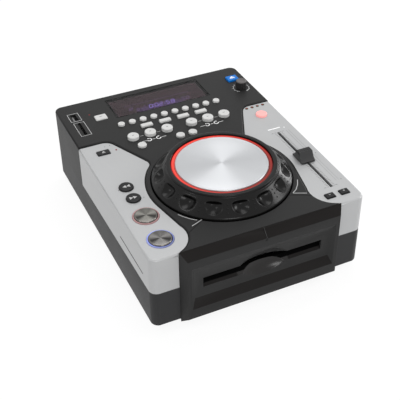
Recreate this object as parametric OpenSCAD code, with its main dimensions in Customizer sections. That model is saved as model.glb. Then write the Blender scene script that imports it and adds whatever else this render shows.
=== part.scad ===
// Tabletop disc player for disc jockeys: slot loader, jog wheel, pitch fader and a panel of keys.
// Millimetres. +X is right, -Y is the front, +Z is up. The origin lies on the surface that the feet stand on,
// under the centre of the player.

/* [Case] */
// Width of the case
body_w = 220; // [218:1:236]
// Depth of the case, without the front block and the rear sockets
body_d = 280; // [277:1:300]
// Height of the case from its underside to the top of the dark panel
body_h = 84; // [83:1:96]
// Height from the underside to the seam below the upper shells, at the front
seam_h = 43.5; // [42:0.5:46]
// How much lower that seam is at the rear end of the wings
seam_drop = 6; // [3:0.5:6.5]
// Wall thickness of the lower case and of the rear wall
wall = 2.5; // [2:0.1:3.2]
// Radius of the case's upright corners
corner_r = 8; // [6:0.5:11]
// Chamfer round the underside
base_chamfer = 4; // [2:0.5:5]
// Height of a rubber foot
foot_h = 4; // [3:0.5:8]
// Radius of a rubber foot
foot_r = 9; // [7:0.5:11]
// Distance of a foot's centre from the side and from the front or rear
foot_inset = 24; // [20:1:34]
// Radius of a case screw's shank
screw_r = 1.5; // [1.2:0.1:2]
// Distance of a rear case screw from the side and from the rear
screw_inset = 12; // [10.5:0.5:13]
// Distance of a front case screw from the side
front_screw_side = 8.5; // [8:0.1:9]
// Distance of a front case screw from the front
front_screw_y = 43.7; // [42:0.1:45]

/* [Upper shells] */
// Thickness of the dark panel
panel_t = 3; // [2.5:0.1:3.6]
// Thickness of the silver wings
wing_t = 2.5; // [2:0.1:3]
// How far the dark panel stands above the wings
panel_rise = 1.3; // [0.6:0.1:2]
// Length of the wings from the front
wing_len = 193.7; // [190:0.5:198]
// Width of a wing at its rear edge, before the corner is rounded
wing_rear_w = 32.1; // [30:0.1:33]
// Angle from the right, round the jog wheel's axis, where the wing's slanted edge meets the dark border
wing_tip_a = 45.4; // [44:0.1:47]
// Radius of a wing's corner at its rear edge
wing_corner_r = 12; // [8:0.5:14]
// Radius of a wing's corner beside the keys
wing_tip_r = 9; // [6:0.5:10]
// Radius of the wing's bulge in front of the jog wheel
bulge_r = 26; // [23:0.5:28]
// Distance from the side of the case to the centre of the bulge
bulge_side = 20; // [17:0.5:22]
// Distance from the front to the centre of the bulge
bulge_y = 26; // [24:0.5:30]
// Seam gap between neighbouring shells
seam_gap = 0.4; // [0.3:0.05:0.6]

/* [Jog wheel] */
// Distance from the side of the case to the jog wheel
jog_side = 41.4; // [40.4:0.2:44]
// Distance from the front to the jog wheel's axis
jog_from_front = 85; // [83:0.5:86]
// Height of the collar's top above the dark panel
jog_rise = 18.2; // [16:0.2:21]
// Running gap round and under the jog wheel
jog_gap = 0.8; // [0.6:0.1:1.2]
// Depth of the well that the jog wheel turns in
well_depth = 6; // [5:0.5:7]
// Width of the dark border between the well and the wings
rim_w = 4.6; // [3.6:0.1:5]
// Width of the wheel's skirt between its edge and the collar
skirt_w = 14.5; // [13.2:0.1:17.2]
// Width of the lit ring round the plate
ring_w = 4.6; // [3.6:0.1:5.2]
// Width of the collar outside the lit ring
collar_w = 4.8; // [4:0.1:5.4]
// Number of finger dimples
dimple_count = 15; // [12:1:16]
// Radius of the ball that cuts a finger dimple
dimple_r = 10; // [9:0.2:10.6]
// Depth of a finger dimple
dimple_deep = 4.6; // [3:0.2:5]
// Radius of the jog wheel's spindle
spindle_r = 4; // [3.5:0.1:5]

/* [Front block and disc slot] */
// Width of the front block at the case
block_w = 165.6; // [162:0.2:168]
// How far the front block stands out
block_out = 8; // [6.5:0.5:9]
// Height of the slope along the top of the block
block_top = 7.5; // [6:0.5:9]
// Height of the slope along the bottom of the block
block_bottom = 7; // [5:0.5:8]
// Width of the slopes at the two ends of the block
block_side = 4.7; // [4:0.1:6]
// Width of the recess in the block
recess_w = 148; // [144:0.5:150]
// Depth of the recess
recess_depth = 4; // [3:0.2:4.6]
// Height of the recess's lower edge above the case's underside
recess_low = 18.4; // [17:0.2:20]
// Height of the recess's upper edge above the case's underside
recess_high = 67; // [65:0.5:69]
// Height of the slope along the bottom of the recess
recess_slope = 9.5; // [8:0.5:11]
// Height of the disc above the case's underside
disc_h = 46.6; // [46:0.2:48]
// Radius of the disc that the player takes
disc_r = 60; // [59.8:0.05:60]
// Side clearance of the disc in its slot
disc_side_gap = 1.4; // [1.2:0.1:2]
// Height of the disc slot
slot_h = 6; // [5.4:0.2:6.4]
// Half the width of the thumb scoop
scoop_half_w = 26; // [22:1:30]
// Half the height of the thumb scoop
scoop_half_h = 14; // [12:0.5:15]
// Depth of the thumb scoop behind the recess
scoop_deep = 7; // [5.5:0.5:7.5]

/* [Keys] */
// Travel of a key
key_travel = 1; // [0.6:0.1:1.4]
// Running gap round a key
key_gap = 0.3; // [0.25:0.05:0.4]
// Height of the keys above the shell
key_h = 2; // [1.4:0.1:3]
// Radius of a small key
small_r = 3.7; // [3.2:0.1:4.2]
// Distance between the small keys
small_pitch = 12.38; // [11.8:0.02:12.6]
// Radius of a medium key
medium_r = 4.6; // [4:0.1:5]
// Radius of a large key
large_r = 6; // [5.2:0.1:6.4]
// Height of the large keys above the panel
large_h = 3.4; // [2.4:0.1:4]
// Distance between the large keys
large_pitch = 19.1; // [18:0.1:19.4]
// Length of a bar key
bar_l = 13; // [11:0.2:14]
// Width of a bar key
bar_d = 5.4; // [4.6:0.1:6]
// Distance between the bar keys
bar_pitch = 21; // [20:0.1:22]
// Radius of a search key
search_r = 7.2; // [6.4:0.1:7.6]
// Radius of the cue and play buttons
transport_r = 11; // [9.5:0.1:11.2]
// Height of the cue and play buttons above the wing
transport_h = 1.8; // [1.4:0.1:2.6]
// Width of the lit ring round the cue and play buttons
halo_w = 1.5; // [1:0.1:1.8]

/* [Display, knob and fader] */
// Width of the display window
window_w = 111; // [108:0.5:114]
// Depth of the display window
window_d = 39.6; // [36:0.2:41]
// Sideways place of the display and of the rows of keys
group_x = 1.3; // [0:0.1:2]
// Thickness of the display window
window_t = 1.8; // [1.4:0.1:2]
// Radius of the browse knob
knob_r = 6; // [5:0.1:7]
// Height of the browse knob above the panel
knob_h = 9.5; // [8:0.5:12]
// Travel of the pitch fader from end to end
fader_travel = 100; // [90:1:101]
// Width of the fader slot
fader_slot_w = 3; // [2.6:0.1:3.4]
// Length of the fader cap
cap_l = 19.5; // [17:0.5:21]
// Width of the fader cap
cap_w = 15; // [13:0.5:16]
// Height of the fader cap above the wing
cap_h = 10; // [8:0.5:12]

/* [Rear sockets and inlet] */
// Radius of a phono socket's barrel
phono_r = 4.15; // [4.1:0.05:4.2]
// Length of a phono socket's barrel outside the rear wall
phono_l = 8; // [7.5:0.5:9]
// Radius of the remote socket's hole
jack_r = 1.8; // [1.75:0.05:1.85]
// Depth of the remote socket's hole
jack_l = 14; // [12:0.5:15]
// Width of the mains inlet's mouth
inlet_w = 24; // [23.5:0.1:24.5]
// Height of the mains inlet's mouth
inlet_h = 16.5; // [16:0.1:17]
// Depth of the mains inlet's mouth
inlet_deep = 17; // [16:0.5:18]
// Angle between the two resting places of the power rocker
rocker_swing = 14; // [10:1:16]

/* [Drive] */
// Width of the drive chassis
drive_w = 146; // [140:1:150]
// Depth of the drive chassis
drive_d = 150; // [146:1:156]
// Sheet thickness of the drive chassis
drive_t = 1.5; // [1.2:0.1:2]
// Radius of the turntable's hub
hub_r = 14; // [12:0.5:15]
// Radius of the feed roller
roller_r = 4; // [3.5:0.1:4.2]
// Travel of the pickup sled
sled_travel = 33; // [30:1:34]
// Number of teeth on the sled gear
gear_teeth = 12; // [11:1:13]
// Distance between the rack's teeth
gear_pitch = 3.2; // [3:0.05:3.3]
// Thickness of the circuit boards
board_t = 1.6; // [1.2:0.1:2]

/* [Hidden] */
// Facets of round faces, of round children of a hull, and of the jog wheel's parts.
round_fn = 96;
hull_fn = 32;
wheel_fn = 180;
small_fn = 24;
// Fit of a piece that turns or slides on a pin, overlap that joins two shapes, and run of a cut past its face.
fit = 0.05;
eps = 0.01;
past = 1;

half_w = body_w / 2;
y_front = -body_d / 2;
y_rear = body_d / 2;
z_base = foot_h;
z_floor = z_base + wall;
z_sole = z_base + base_chamfer + 2;
z_seam = z_base + seam_h;
z_panel = z_base + body_h;
z_panel_low = z_panel - panel_t;
z_wing = z_panel - panel_rise;
z_wing_low = z_wing - wing_t;
z_disc = z_base + disc_h;
y_wing_rear = y_front + wing_len;
border_from = -12;
border_end = 9;
border_steps = 24;
bulge_arc = [247, 158];
corner_steps = 8;

jog_y = y_front + jog_from_front;
jog_r = half_w - jog_side;
well_r = jog_r + jog_gap;
well_wall = 2;
z_well = z_panel - well_depth;
rim_r = well_r + rim_w;
z_jog_low = z_well + jog_gap;
z_collar = z_panel + jog_rise;
collar_r = jog_r - skirt_w;
ring_r = collar_r - collar_w;
plate_r = ring_r - ring_w;
collar_h = 2.6;
z_plate = z_collar - 0.8;
z_ring = z_collar - 1.6;
plate_t = 2.4;
ring_t = 2.6;
ring_gap = 0.2;
wheel_edge = 1;
wheel_foot = 0.8;
dimple_phase = -3;
slope_low = [jog_r - wheel_edge, z_panel + 2.8];
slope_high = [collar_r + 1.9, z_collar - collar_h - 1];
wheel_wall = 3;
hub_wall = 6;
spindle_flange_r = spindle_r + 8;
spindle_flange_t = 3;
spindle_in = 9;
boss_w = 3;
boss_gap = 0.1;

// The control boards lie at one level, low enough for a key's travel and its switch.
flange_t = 1.2;
flange_w = 1.2;
flange_gap = 0.3;
switch_h = 2.4;
z_board = z_panel_low - 9;
z_stem = z_board + switch_h + key_travel + flange_gap;
post_r = 1.6;
post_edge = 0.2;
key_stem_r = 1.4;
key_edge = 0.6;
flat_edge = 0.5;
flat_in = 0.4;
switch_w = 6;

// The display is placed from the rear edge. The rows of keys share the space between it and the jog wheel's well.
window_rear = 9.4;
window_y = y_rear - window_rear - window_d / 2;
window_gap = 0.15;
window_sunk = 0.2;
rows_front = jog_y + well_r + well_wall;
rows_rear = window_y - window_d / 2;
function row_y(share) = rows_front + share * (rows_rear - rows_front);
small_y = row_y(0.804);
bar_y = row_y(0.633);
large_y = row_y(0.41);
medium_y = row_y(0.178);
small_x = [for (i = [0:9]) group_x + (i - 4.5) * small_pitch];
bar_x = [for (i = [0:3]) group_x - 0.3 + (i - 1.5) * bar_pitch];
large_x = concat([for (i = [0:2]) group_x - 34.5 + (i - 1) * large_pitch],
                 [for (i = [0:2]) group_x + 31.8 + (i - 1) * large_pitch]);
medium_x = [for (dx = [-50.5, -7.6, 6.4]) group_x + dx];
window_ledge = 2.5;

usb_pos = [14.6 - half_w, y_rear - 28.7];
usb_size = [6, 13.2];
card_pos = [15.6 - half_w, y_rear - 53.3];
card_size = [3.2, 25.4];
socket_h = 14;
socket_t = 0.5;
// The source key stands a share of the way from the display to the card socket.
window_left = group_x - window_w / 2;
source_pos = [window_left - 0.389 * (window_left - card_pos[0] - card_size[0] / 2), y_rear - 40.3];
source_size = [13, 10];
source_r = 1;
bar_r = 0.9;
source_h = 1;
open_pos = [half_w - 15.1, y_rear - 27.4];
open_size = [13.5, 11];
open_r = 1.5;
knob_pos = [half_w - 14.6, y_rear - 49.2];
knob_shaft_r = 3;
knob_edge = 0.8;
knob_gap = 0.4;
grip_r = 0.7;
grip_count = 18;
encoder_w = 12;
encoder_deep = 7;

// Wing group: placed from the side and from the front.
wing_key_pos = [20.9 - half_w, y_front + 176];
wing_key_size = [13.5, 8];
wing_key_h = 1.2;
lit_pos = [half_w - 20.2, y_front + 171.3];
lit_r = 6;
search_pos = [for (y = [110.9, 91.5]) [20.6 - half_w, y_front + y]];
search_h = 1.6;
cue_pos = [21.2 - half_w, y_front + 61.7];
play_pos = [20.6 - half_w, y_front + 25.8];
bend_pos = [for (side = [30.3, 14.8]) [half_w - side, y_front + 15]];
bend_size = [9.8, 7.3];
bend_h = 1.4;
wing_key_r = 0.8;
lamp_pitch = 6.55;
lamp_x = [for (i = [0:3]) half_w - 28.8 + i * lamp_pitch];
lamp_y = y_front + 189.2;
lamp_r = 1.7;
lamp_gap = 0.1;
halo_r = transport_r + halo_w;
halo_h = 0.7;
button_edge = 0.5;

fader_x = half_w - 20.9;
fader_y = y_front + 80;
stem_l = 5;
stem_gap = 0.7;
stem_w = fader_slot_w - 2 * stem_gap;
fader_slot_l = fader_travel + stem_l + 2 * stem_gap;
track_w = 10;
track_h = 13;
stem_deep = 9;
cap_lift = 0.5;
cap_ridge = 6;
cap_lip = 1.6;

// Boards reach this far beyond their outer keys: to the left and front, and to the right and rear.
rows_board = [[large_r + 6, medium_r + 2], [large_r + 6, small_r + 5.3]];
rows_post_in = 36;
source_board = [[12, 10], [12, 8]];
rear_board = [[12, 12], [9.5, 10.9]];
button_board = [[17, 13], [14.5, 13]];
search_board = [[13, 7], [13, 7]];
lit_board = [[12.5, 9], [16, 3.2]];
bend_board = [[10.5, 7], [10.3, 7]];

jack_x = half_w - 22;
socket_pitch = 18;
rear_x = [for (i = [2:-1:0]) jack_x - 20 - i * socket_pitch];
socket_z = z_base + 22;
socket_body = 12;
socket_bore_r = 1.6;
jack_wall = 1.4;
jack_body = [10, 14];
phono_collar = 1.6;
inlet_flange = [54, 27];
inlet_x = inlet_flange[0] / 2 + 17 - half_w;
inlet_lip = 2.5;
inlet_gap = 0.3;
inlet_mouth_x = inlet_x - 11.5;
inlet_back = 3;
rocker_x = inlet_x + 16;
rocker_r = 9;
rocker_w = 11;
rocker_gap = 0.3;
rocker_face = 3.2;
rocker_pin_r = 1.5;
rocker_pin_out = 1.7;
plate_out = 2;

screw_head_r = 2 * screw_r;
screw_head_h = 1.6;
screw_l = 10;
screw_slot = 0.6;
screw_gap = 0.3;
post_wall = 2.5;

y_disc = y_front + disc_r + 8;
drive_front = y_front + wall + 3.5;
drive_low = z_disc - 22;
z_sheet = drive_low + drive_t;
drive_high = z_disc + 11;
disc_lane = slot_h / 2 - 0.7;
slot_w = 2 * (disc_r + disc_side_gap);
ramp_h = 5;
recess_y = y_front - block_out + recess_depth;
scoop_wall = 2;
scoop_back = recess_y + scoop_deep + scoop_wall;
rod_r = 1.5;
rod_x = 21;
rod_z = z_disc - 14;
sled_y = y_disc + 27;
sled_l = 20;
sled_t = 6.4;
rack_off = 9;
rod_front = sled_y - sled_l / 2 - 2.5;
rod_rear = sled_y + sled_travel + sled_l / 2 + 6;
lug = [6, 3, 2.5];
gear_r = gear_teeth * gear_pitch / (2 * PI);
gear_x = rod_x + rack_off + gear_r;
gear_y = sled_y + 16;
gear_pin_r = 1.5;
gear_t = 3;
// The gear and the rack share a pitch line; a tooth is longer outside it than inside by the working clearance.
tooth_out = 0.8;
tooth_in = 1.1;
tooth_foot = 1.5;
tooth_tip = 0.6;
motor_h = 6;
turn_shaft_r = 1;
turn_gap = 0.3;
roller_y = drive_front + 9;
roller_gap = 0.3;
roller_z = z_disc - disc_lane - roller_gap - roller_r;
roller_shaft_r = 1.5;
leg_r = 4;

// The two boards on the floor.
floor_board_z = z_floor + 6;
floor_board_y = [y_disc + drive_d / 2 + 16, y_rear - wall - 24];
supply_x = [wall + 10 - half_w, -6];
main_x = [8, half_w - wall - 10];
vent_size = [3, 34];
vent_pitch = 8;
vent_low = [supply_x[0] + 19.5, floor_board_y[0] + 43];

dark = "#3b3b3d";
case_grey = "#5c5d5f";
silver = "#c3c5c7";
key_grey = "#cfcfcf";
rubber = "#262627";
steel = "#9a9c9f";
board_green = "#2f5a3c";

// ---------- shared shapes ----------

// Rectangle with round corners, about its own centre.
module rounded_rect(w, d, r, fn = round_fn) {
    square([w - 2 * r, d], center = true);
    square([w, d - 2 * r], center = true);
    for (sx = [-1, 1], sy = [-1, 1])
        translate([sx * (w / 2 - r), sy * (d / 2 - r)]) circle(r, $fn = fn);
}

// The case's outline, or one drawn in from it all round.
module case_plan(inset = 0, fn = round_fn) {
    rounded_rect(body_w - 2 * inset, body_d - 2 * inset, max(corner_r - inset, 1), fn);
}

// Upright prism of the case's outline between two heights.
module case_prism(z0, z1, inset = 0) {
    translate([0, 0, z0]) linear_extrude(z1 - z0) case_plan(inset);
}

// Box between two opposite corners.
module box(low, high) {
    translate(low) cube(high - low);
}

module disc_at(pos, r, z0, z1) {
    translate([pos[0], pos[1], z0]) cylinder(r = r, h = z1 - z0, $fn = round_fn);
}

// Points of an arc from angle a0 to a1.
function arc(centre, r, a0, a1, steps) =
    [for (i = [0:steps]) centre + r * [cos(a0 + (a1 - a0) * i / steps), sin(a0 + (a1 - a0) * i / steps)]];

// ---------- wing outline ----------

// Points that round the corner at v, between the directions of a and b.
function rounded_corner(a, v, b, r, steps) =
    let (da = (a - v) / norm(a - v), db = (b - v) / norm(b - v),
         half = acos(da * db) / 2,
         mid = (da + db) / norm(da + db),
         c = v + mid * r / sin(half),
         pa = v + da * r / tan(half), pb = v + db * r / tan(half),
         a0 = atan2(pa[1] - c[1], pa[0] - c[0]),
         turn = atan2(pb[1] - c[1], pb[0] - c[0]) - a0,
         a1 = a0 + (turn > 180 ? turn - 360 : turn < -180 ? turn + 360 : turn))
    arc(c, r, a0, a1, steps);

// Distance along d from p to the circle of radius r about the origin, where the line leaves the circle.
function circle_crossing(p, d, r) = -p * d + sqrt(pow(p * d, 2) - p * p + r * r);

// The right wing's outline, grown by g all round where it meets other shells. It follows the border of the jog
// wheel's well, then a bulge beside the front block, and its slanted edge runs beside the keys.
function wing_outline(g) =
    let (cut_r = rim_r + seam_gap - g,
         rear = [half_w - wing_rear_w, y_wing_rear],
         edge = rear - [0, jog_y] - (rim_r + seam_gap) * [cos(wing_tip_a), sin(wing_tip_a)],
         d = edge / norm(edge),
         q = rear + g * [-d[1], d[0]],
         corner = q + d * (y_wing_rear + g - q[1]) / d[1],
         tip = q + d * circle_crossing(q - [0, jog_y], d, cut_r),
         tip_a = atan2(tip[1] - jog_y, tip[0]),
         border = arc([0, jog_y], cut_r, border_from, tip_a - border_end, border_steps),
         outer = [half_w + past, y_wing_rear + g])
    concat([[half_w + past, y_front - past], [block_w / 2 + seam_gap - g, y_front - past]],
           arc([half_w - bulge_side, y_front + bulge_y], bulge_r + g, bulge_arc[0], bulge_arc[1], corner_steps),
           border, rounded_corner(border[border_steps], tip, corner, wing_tip_r + g, corner_steps),
           rounded_corner(tip, corner, outer, wing_corner_r + g, corner_steps), [outer]);

module wing_plan(g) {
    intersection() {
        case_plan();
        polygon(wing_outline(g));
    }
}

// ---------- case ----------

module base_shell() {
    color(case_grey) difference() {
        union() {
            hull() {
                translate([0, 0, z_base]) linear_extrude(eps) case_plan(base_chamfer, hull_fn);
                translate([0, 0, z_base + base_chamfer]) linear_extrude(eps) case_plan(0, hull_fn);
            }
            intersection() {
                case_prism(z_base + base_chamfer, z_seam);
                below_seam();
            }
        }
        case_prism(z_floor, z_sole, wall + base_chamfer / 2);
        case_prism(z_sole - eps, z_seam + past, wall);
        block_window(seam_gap / 2);
        rear_cutouts();
        for (p = screw_places()) disc_at(p, screw_r + screw_gap, z_base - past, z_floor + past);
        vent_slots();
    }
}

// Everything below the seam, which runs down towards the rear end of the wings.
module below_seam() {
    low = z_seam - seam_drop;
    translate([-body_w, 0, 0]) rotate([90, 0, 90]) linear_extrude(2 * body_w)
        polygon([[y_front - past, z_base - past], [y_front - past, z_seam], [y_front, z_seam],
                 [y_wing_rear, low], [y_rear + past, low], [y_rear + past, z_base - past]]);
}

// Place in the front wall that the front block's back plate fills.
module block_window(g) {
    half = block_w / 2 + g;
    slack = 0.5;
    box([-half, y_front - past, z_floor], [half, y_front + wall + slack, z_seam + past]);
}

function rear_screws() = [for (sx = [-1, 1]) [sx * (half_w - screw_inset), y_rear - screw_inset]];
function front_screw(side) = [side * (half_w - front_screw_side), y_front + front_screw_y];
function screw_places() = concat(rear_screws(), [front_screw(-1), front_screw(1)]);

// Cooling slots in the floor, under the power supply.
module vent_slots() {
    for (i = [0:6]) translate([vent_low[0] + i * vent_pitch, vent_low[1], z_base - past])
        linear_extrude(wall + 2 * past) square(vent_size);
}

module rear_cutouts() {
    hole_gap = 0.2;
    for (x = rear_x) translate([x, y_rear, socket_z]) rotate([90, 0, 0])
        cylinder(r = phono_r + hole_gap, h = 3 * wall, center = true, $fn = round_fn);
    translate([jack_x, y_rear, socket_z]) rotate([90, 0, 0])
        cylinder(r = jack_r + jack_wall + hole_gap, h = 3 * wall, center = true, $fn = round_fn);
    inlet_box(inlet_lip, [y_rear - wall - past, y_rear + past]);
}

// Box as wide and high as the inlet's frame, less the given margin, between two depths.
module inlet_box(margin, y) {
    half = inlet_flange / 2 - [margin, margin];
    box([inlet_x - half[0], y[0], socket_z - half[1]], [inlet_x + half[0], y[1], socket_z + half[1]]);
}

module feet() {
    taper = 0.8;
    hollow = 1;
    color(rubber) for (sx = [-1, 1], sy = [-1, 1])
        translate([sx * (half_w - foot_inset), sy * (body_d / 2 - foot_inset), 0]) difference() {
            cylinder(r1 = foot_r - taper, r2 = foot_r, h = foot_h, $fn = round_fn);
            translate([0, 0, -past]) cylinder(r = foot_r / 3, h = past + hollow, $fn = round_fn);
        }
}

module case_screws() {
    color(steel) for (p = screw_places()) translate([p[0], p[1], 0]) difference() {
        union() {
            translate([0, 0, z_base - screw_head_h])
                cylinder(r = screw_head_r, h = screw_head_h, $fn = round_fn);
            translate([0, 0, z_base - eps]) cylinder(r = screw_r, h = screw_l, $fn = round_fn);
        }
        for (a = [0, 90]) rotate(a) translate([-screw_r, -screw_slot / 2, z_base - screw_head_h - past])
            cube([2 * screw_r, screw_slot, past + screw_head_h / 2]);
    }
}

// Post that a case screw holds, from the floor up to the shell above.
module screw_post(p, z_top) {
    difference() {
        disc_at(p, screw_r + post_wall, z_floor, z_top + eps);
        disc_at(p, screw_r + fit, z_floor - past, z_floor + screw_l);
    }
}

// ---------- dark panel ----------

module top_panel() {
    color(dark) difference() {
        union() {
            difference() {
                translate([0, 0, z_panel_low]) linear_extrude(panel_t) case_plan();
                for (side = [0, 1]) mirror([side, 0, 0]) translate([0, 0, z_panel_low - past])
                    linear_extrude(panel_t + 2 * past) polygon(wing_outline(seam_gap));
            }
            rear_walls();
            disc_at([0, jog_y], well_r + well_wall, z_well - well_wall, z_panel);
            for (p = rear_screws()) screw_post(p, z_panel_low);
        }
        disc_at([0, jog_y], well_r, z_well, z_panel + past);
        disc_at([0, jog_y], spindle_r + boss_w, z_well - well_wall - past, z_well + past);
        panel_holes();
    }
}

// Wall round the case above the seam.
module upper_wall(z_top) {
    difference() {
        case_prism(z_seam - seam_drop, z_top + eps);
        case_prism(z_seam - seam_drop - past, z_top + past, wall);
        below_seam();
    }
}

// Rear wall and the rear stretch of the side walls, down to the seam.
module rear_walls() {
    intersection() {
        upper_wall(z_panel_low);
        box([-body_w, y_wing_rear + seam_gap, z_base], [body_w, body_d, z_panel]);
    }
}

module panel_holes() {
    low = z_panel_low - past;
    high = z_panel + past;
    translate([group_x, window_y, z_panel - window_t - window_sunk]) linear_extrude(window_t + past)
        rounded_rect(window_w, window_d, 1);
    translate([group_x, window_y, low]) linear_extrude(panel_t + 2 * past)
        rounded_rect(window_w - 2 * window_ledge, window_d - 2 * window_ledge, 1);
    for (x = small_x) disc_at([x, small_y], small_r + key_gap, low, high);
    for (x = bar_x) key_slot([x, bar_y], [bar_l, bar_d], bar_r, low, high);
    for (x = large_x) disc_at([x, large_y], large_r + key_gap, low, high);
    for (x = medium_x) disc_at([x, medium_y], medium_r + key_gap, low, high);
    key_slot(source_pos, source_size, source_r, low, high);
    key_slot(open_pos, open_size, open_r, low, high);
    disc_at(knob_pos, knob_shaft_r + 0.5, low, high);
    for (hole = [[usb_pos, usb_size], [card_pos, card_size]])
        box([hole[0][0] - hole[1][0] / 2, hole[0][1] - hole[1][1] / 2, low],
            [hole[0][0] + hole[1][0] / 2, hole[0][1] + hole[1][1] / 2, high]);
}

// Hole for a rectangular key, wider than the key by the running gap.
module key_slot(pos, size, r, z0, z1) {
    translate([pos[0], pos[1], z0]) linear_extrude(z1 - z0)
        rounded_rect(size[0] + 2 * key_gap, size[1] + 2 * key_gap, r + key_gap);
}

// ---------- silver wings ----------

// A wing's top, its side wall and its short front wall. The left one is the mirror image.
module wing_shell() {
    translate([0, 0, z_wing_low]) linear_extrude(wing_t) wing_plan(0);
    intersection() {
        upper_wall(z_wing_low);
        box([block_w / 2 + seam_gap, y_front - past, z_base], [body_w, y_wing_rear, z_wing]);
    }
}

module right_wing() {
    low = z_wing_low - past;
    high = z_wing + past;
    color(silver) difference() {
        union() {
            wing_shell();
            screw_post(front_screw(1), z_wing_low);
        }
        box([fader_x - fader_slot_w / 2, fader_y - fader_slot_l / 2, low],
            [fader_x + fader_slot_w / 2, fader_y + fader_slot_l / 2, high]);
        disc_at(lit_pos, lit_r + key_gap, low, high);
        for (p = bend_pos) key_slot(p, bend_size, wing_key_r, low, high);
        for (x = lamp_x) disc_at([x, lamp_y], lamp_r + lamp_gap, low, high);
    }
}

module left_wing() {
    low = z_wing_low - past;
    high = z_wing + past;
    color(silver) difference() {
        union() {
            mirror([1, 0, 0]) wing_shell();
            screw_post(front_screw(-1), z_wing_low);
        }
        key_slot(wing_key_pos, wing_key_size, wing_key_r, low, high);
        for (p = search_pos) disc_at(p, search_r + key_gap, low, high);
        for (p = [cue_pos, play_pos]) disc_at(p, halo_r + key_gap, low, high);
    }
}

// ---------- front block ----------

module slot_bezel() {
    half = block_w / 2;
    face = y_front - block_out;
    recess = recess_w / 2;
    recess_side = block_side - 0.7;
    low = z_base + recess_low;
    high = z_base + recess_high;
    color(dark) difference() {
        union() {
            hull() {
                box([-half, y_front - eps, z_base], [half, y_front, z_panel]);
                box([block_side - half, face, z_base + block_bottom],
                    [half - block_side, face + eps, z_panel - block_top]);
            }
            box([-half, y_front - eps, z_floor + seam_gap / 2], [half, y_front + wall, z_wing_low - seam_gap]);
            box([-scoop_half_w, y_front, z_disc - scoop_half_h - scoop_wall],
                [scoop_half_w, scoop_back, z_disc + scoop_half_h]);
        }
        hull() {
            box([-recess, face - eps, low], [recess, face, high]);
            box([recess_side - recess, recess_y - eps, low + recess_slope],
                [recess - recess_side, recess_y, high - recess_slope + 1]);
        }
        disc_lane_cut();
        thumb_scoop();
        status_groove();
        back_hollows();
    }
}

// Hollows behind the block, above and below the slot.
module back_hollows() {
    side = 8;
    skin = 1.2;
    for (z = [[z_base + 14, z_base + 32], [z_base + 62, z_panel_low - 4]])
        box([side - block_w / 2, y_front - skin, z[0]], [block_w / 2 - side, y_front + wall + past, z[1]]);
}

// The disc's way through the block, with a ramp up to it from the front.
module disc_lane_cut() {
    half = slot_w / 2;
    low = z_disc - slot_h / 2;
    ramp_end = y_front + 1.5;
    box([-half, y_front - block_out - past, low], [half, scoop_back + past, low + slot_h]);
    translate([-half, 0, 0]) rotate([90, 0, 90]) linear_extrude(slot_w)
        polygon([[recess_y - past, low - ramp_h - past], [recess_y, low - ramp_h], [ramp_end, low + eps],
                 [recess_y - past, low + eps]]);
}

// Hollow where a thumb and a finger take the disc's edge: a barrel lying along X, with a lens-shaped mouth.
module thumb_scoop() {
    barrel = (pow(scoop_half_h, 2) + pow(scoop_deep, 2)) / (2 * scoop_deep);
    stave = (pow(scoop_half_w, 2) + pow(scoop_deep, 2)) / (2 * scoop_deep);
    end = scoop_half_w + 4;
    sweep = asin(end / stave);
    translate([0, recess_y - barrel + scoop_deep, z_disc - 1]) rotate([0, 90, 0]) rotate_extrude($fn = round_fn)
        polygon(concat([[0, -end]], arc([barrel - stave, 0], stave, -sweep, sweep, 2 * corner_steps),
                       [[0, end]]));
}

// Narrow groove down the middle of the block's top slope, with a wider end on the face.
module status_groove() {
    groove_w = 0.8;
    groove_t = 0.6;
    end_w = 1.8;
    end_h = 2.5;
    slope_l = norm([block_out, block_top]);
    edge = z_panel - block_top;
    translate([0, y_front, z_panel]) rotate([atan2(block_top, block_out), 0, 0])
        translate([-groove_w / 2, -slope_l - 0.5, -groove_t]) cube([groove_w, slope_l - past, groove_t + past]);
    box([-end_w / 2, y_front - block_out - past, edge - end_h],
        [end_w / 2, y_front - block_out + groove_w, edge]);
}

// ---------- display ----------

module display_window() {
    color("#2a1f2e") translate([group_x, window_y, z_panel - window_t - window_sunk]) linear_extrude(window_t)
        rounded_rect(window_w - 2 * window_gap, window_d - 2 * window_gap, 0.9);
}

module display_module() {
    glass = [window_w - 2 * window_ledge - 2, window_d - 2 * window_ledge - 2];
    glass_t = 3.4;
    board = [window_w - 4, window_d - 1];
    low = z_panel - window_t - window_sunk - 0.3 - glass_t;
    color("#1d1a22") translate([group_x, window_y, low]) linear_extrude(glass_t) square(glass, center = true);
    color(board_green) translate([group_x, window_y, low - board_t]) linear_extrude(board_t)
        square(board, center = true);
    color(steel) for (sx = [-1, 1], sy = [-1, 1])
        disc_at([group_x + sx * (board[0] / 2 - 1.9), window_y + sy * (board[1] / 2 - 1.9)], post_r - 0.1,
                low - eps, z_panel_low);
}

// ---------- keys ----------

// Round key: a cap with a broken edge, a flange under the shell and a stem over its switch.
module round_key(pos, r, h, z_top, t) {
    z0 = z_top - t - flange_gap;
    edge_z = z_top + h - key_edge;
    disc_at(pos, r, z0 - eps, edge_z);
    translate([pos[0], pos[1], edge_z]) cylinder(r1 = r, r2 = r - key_edge, h = key_edge, $fn = round_fn);
    disc_at(pos, r + flange_w, z0 - flange_t, z0);
    disc_at(pos, key_stem_r, z_stem, z0 - flange_t + eps);
}

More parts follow.
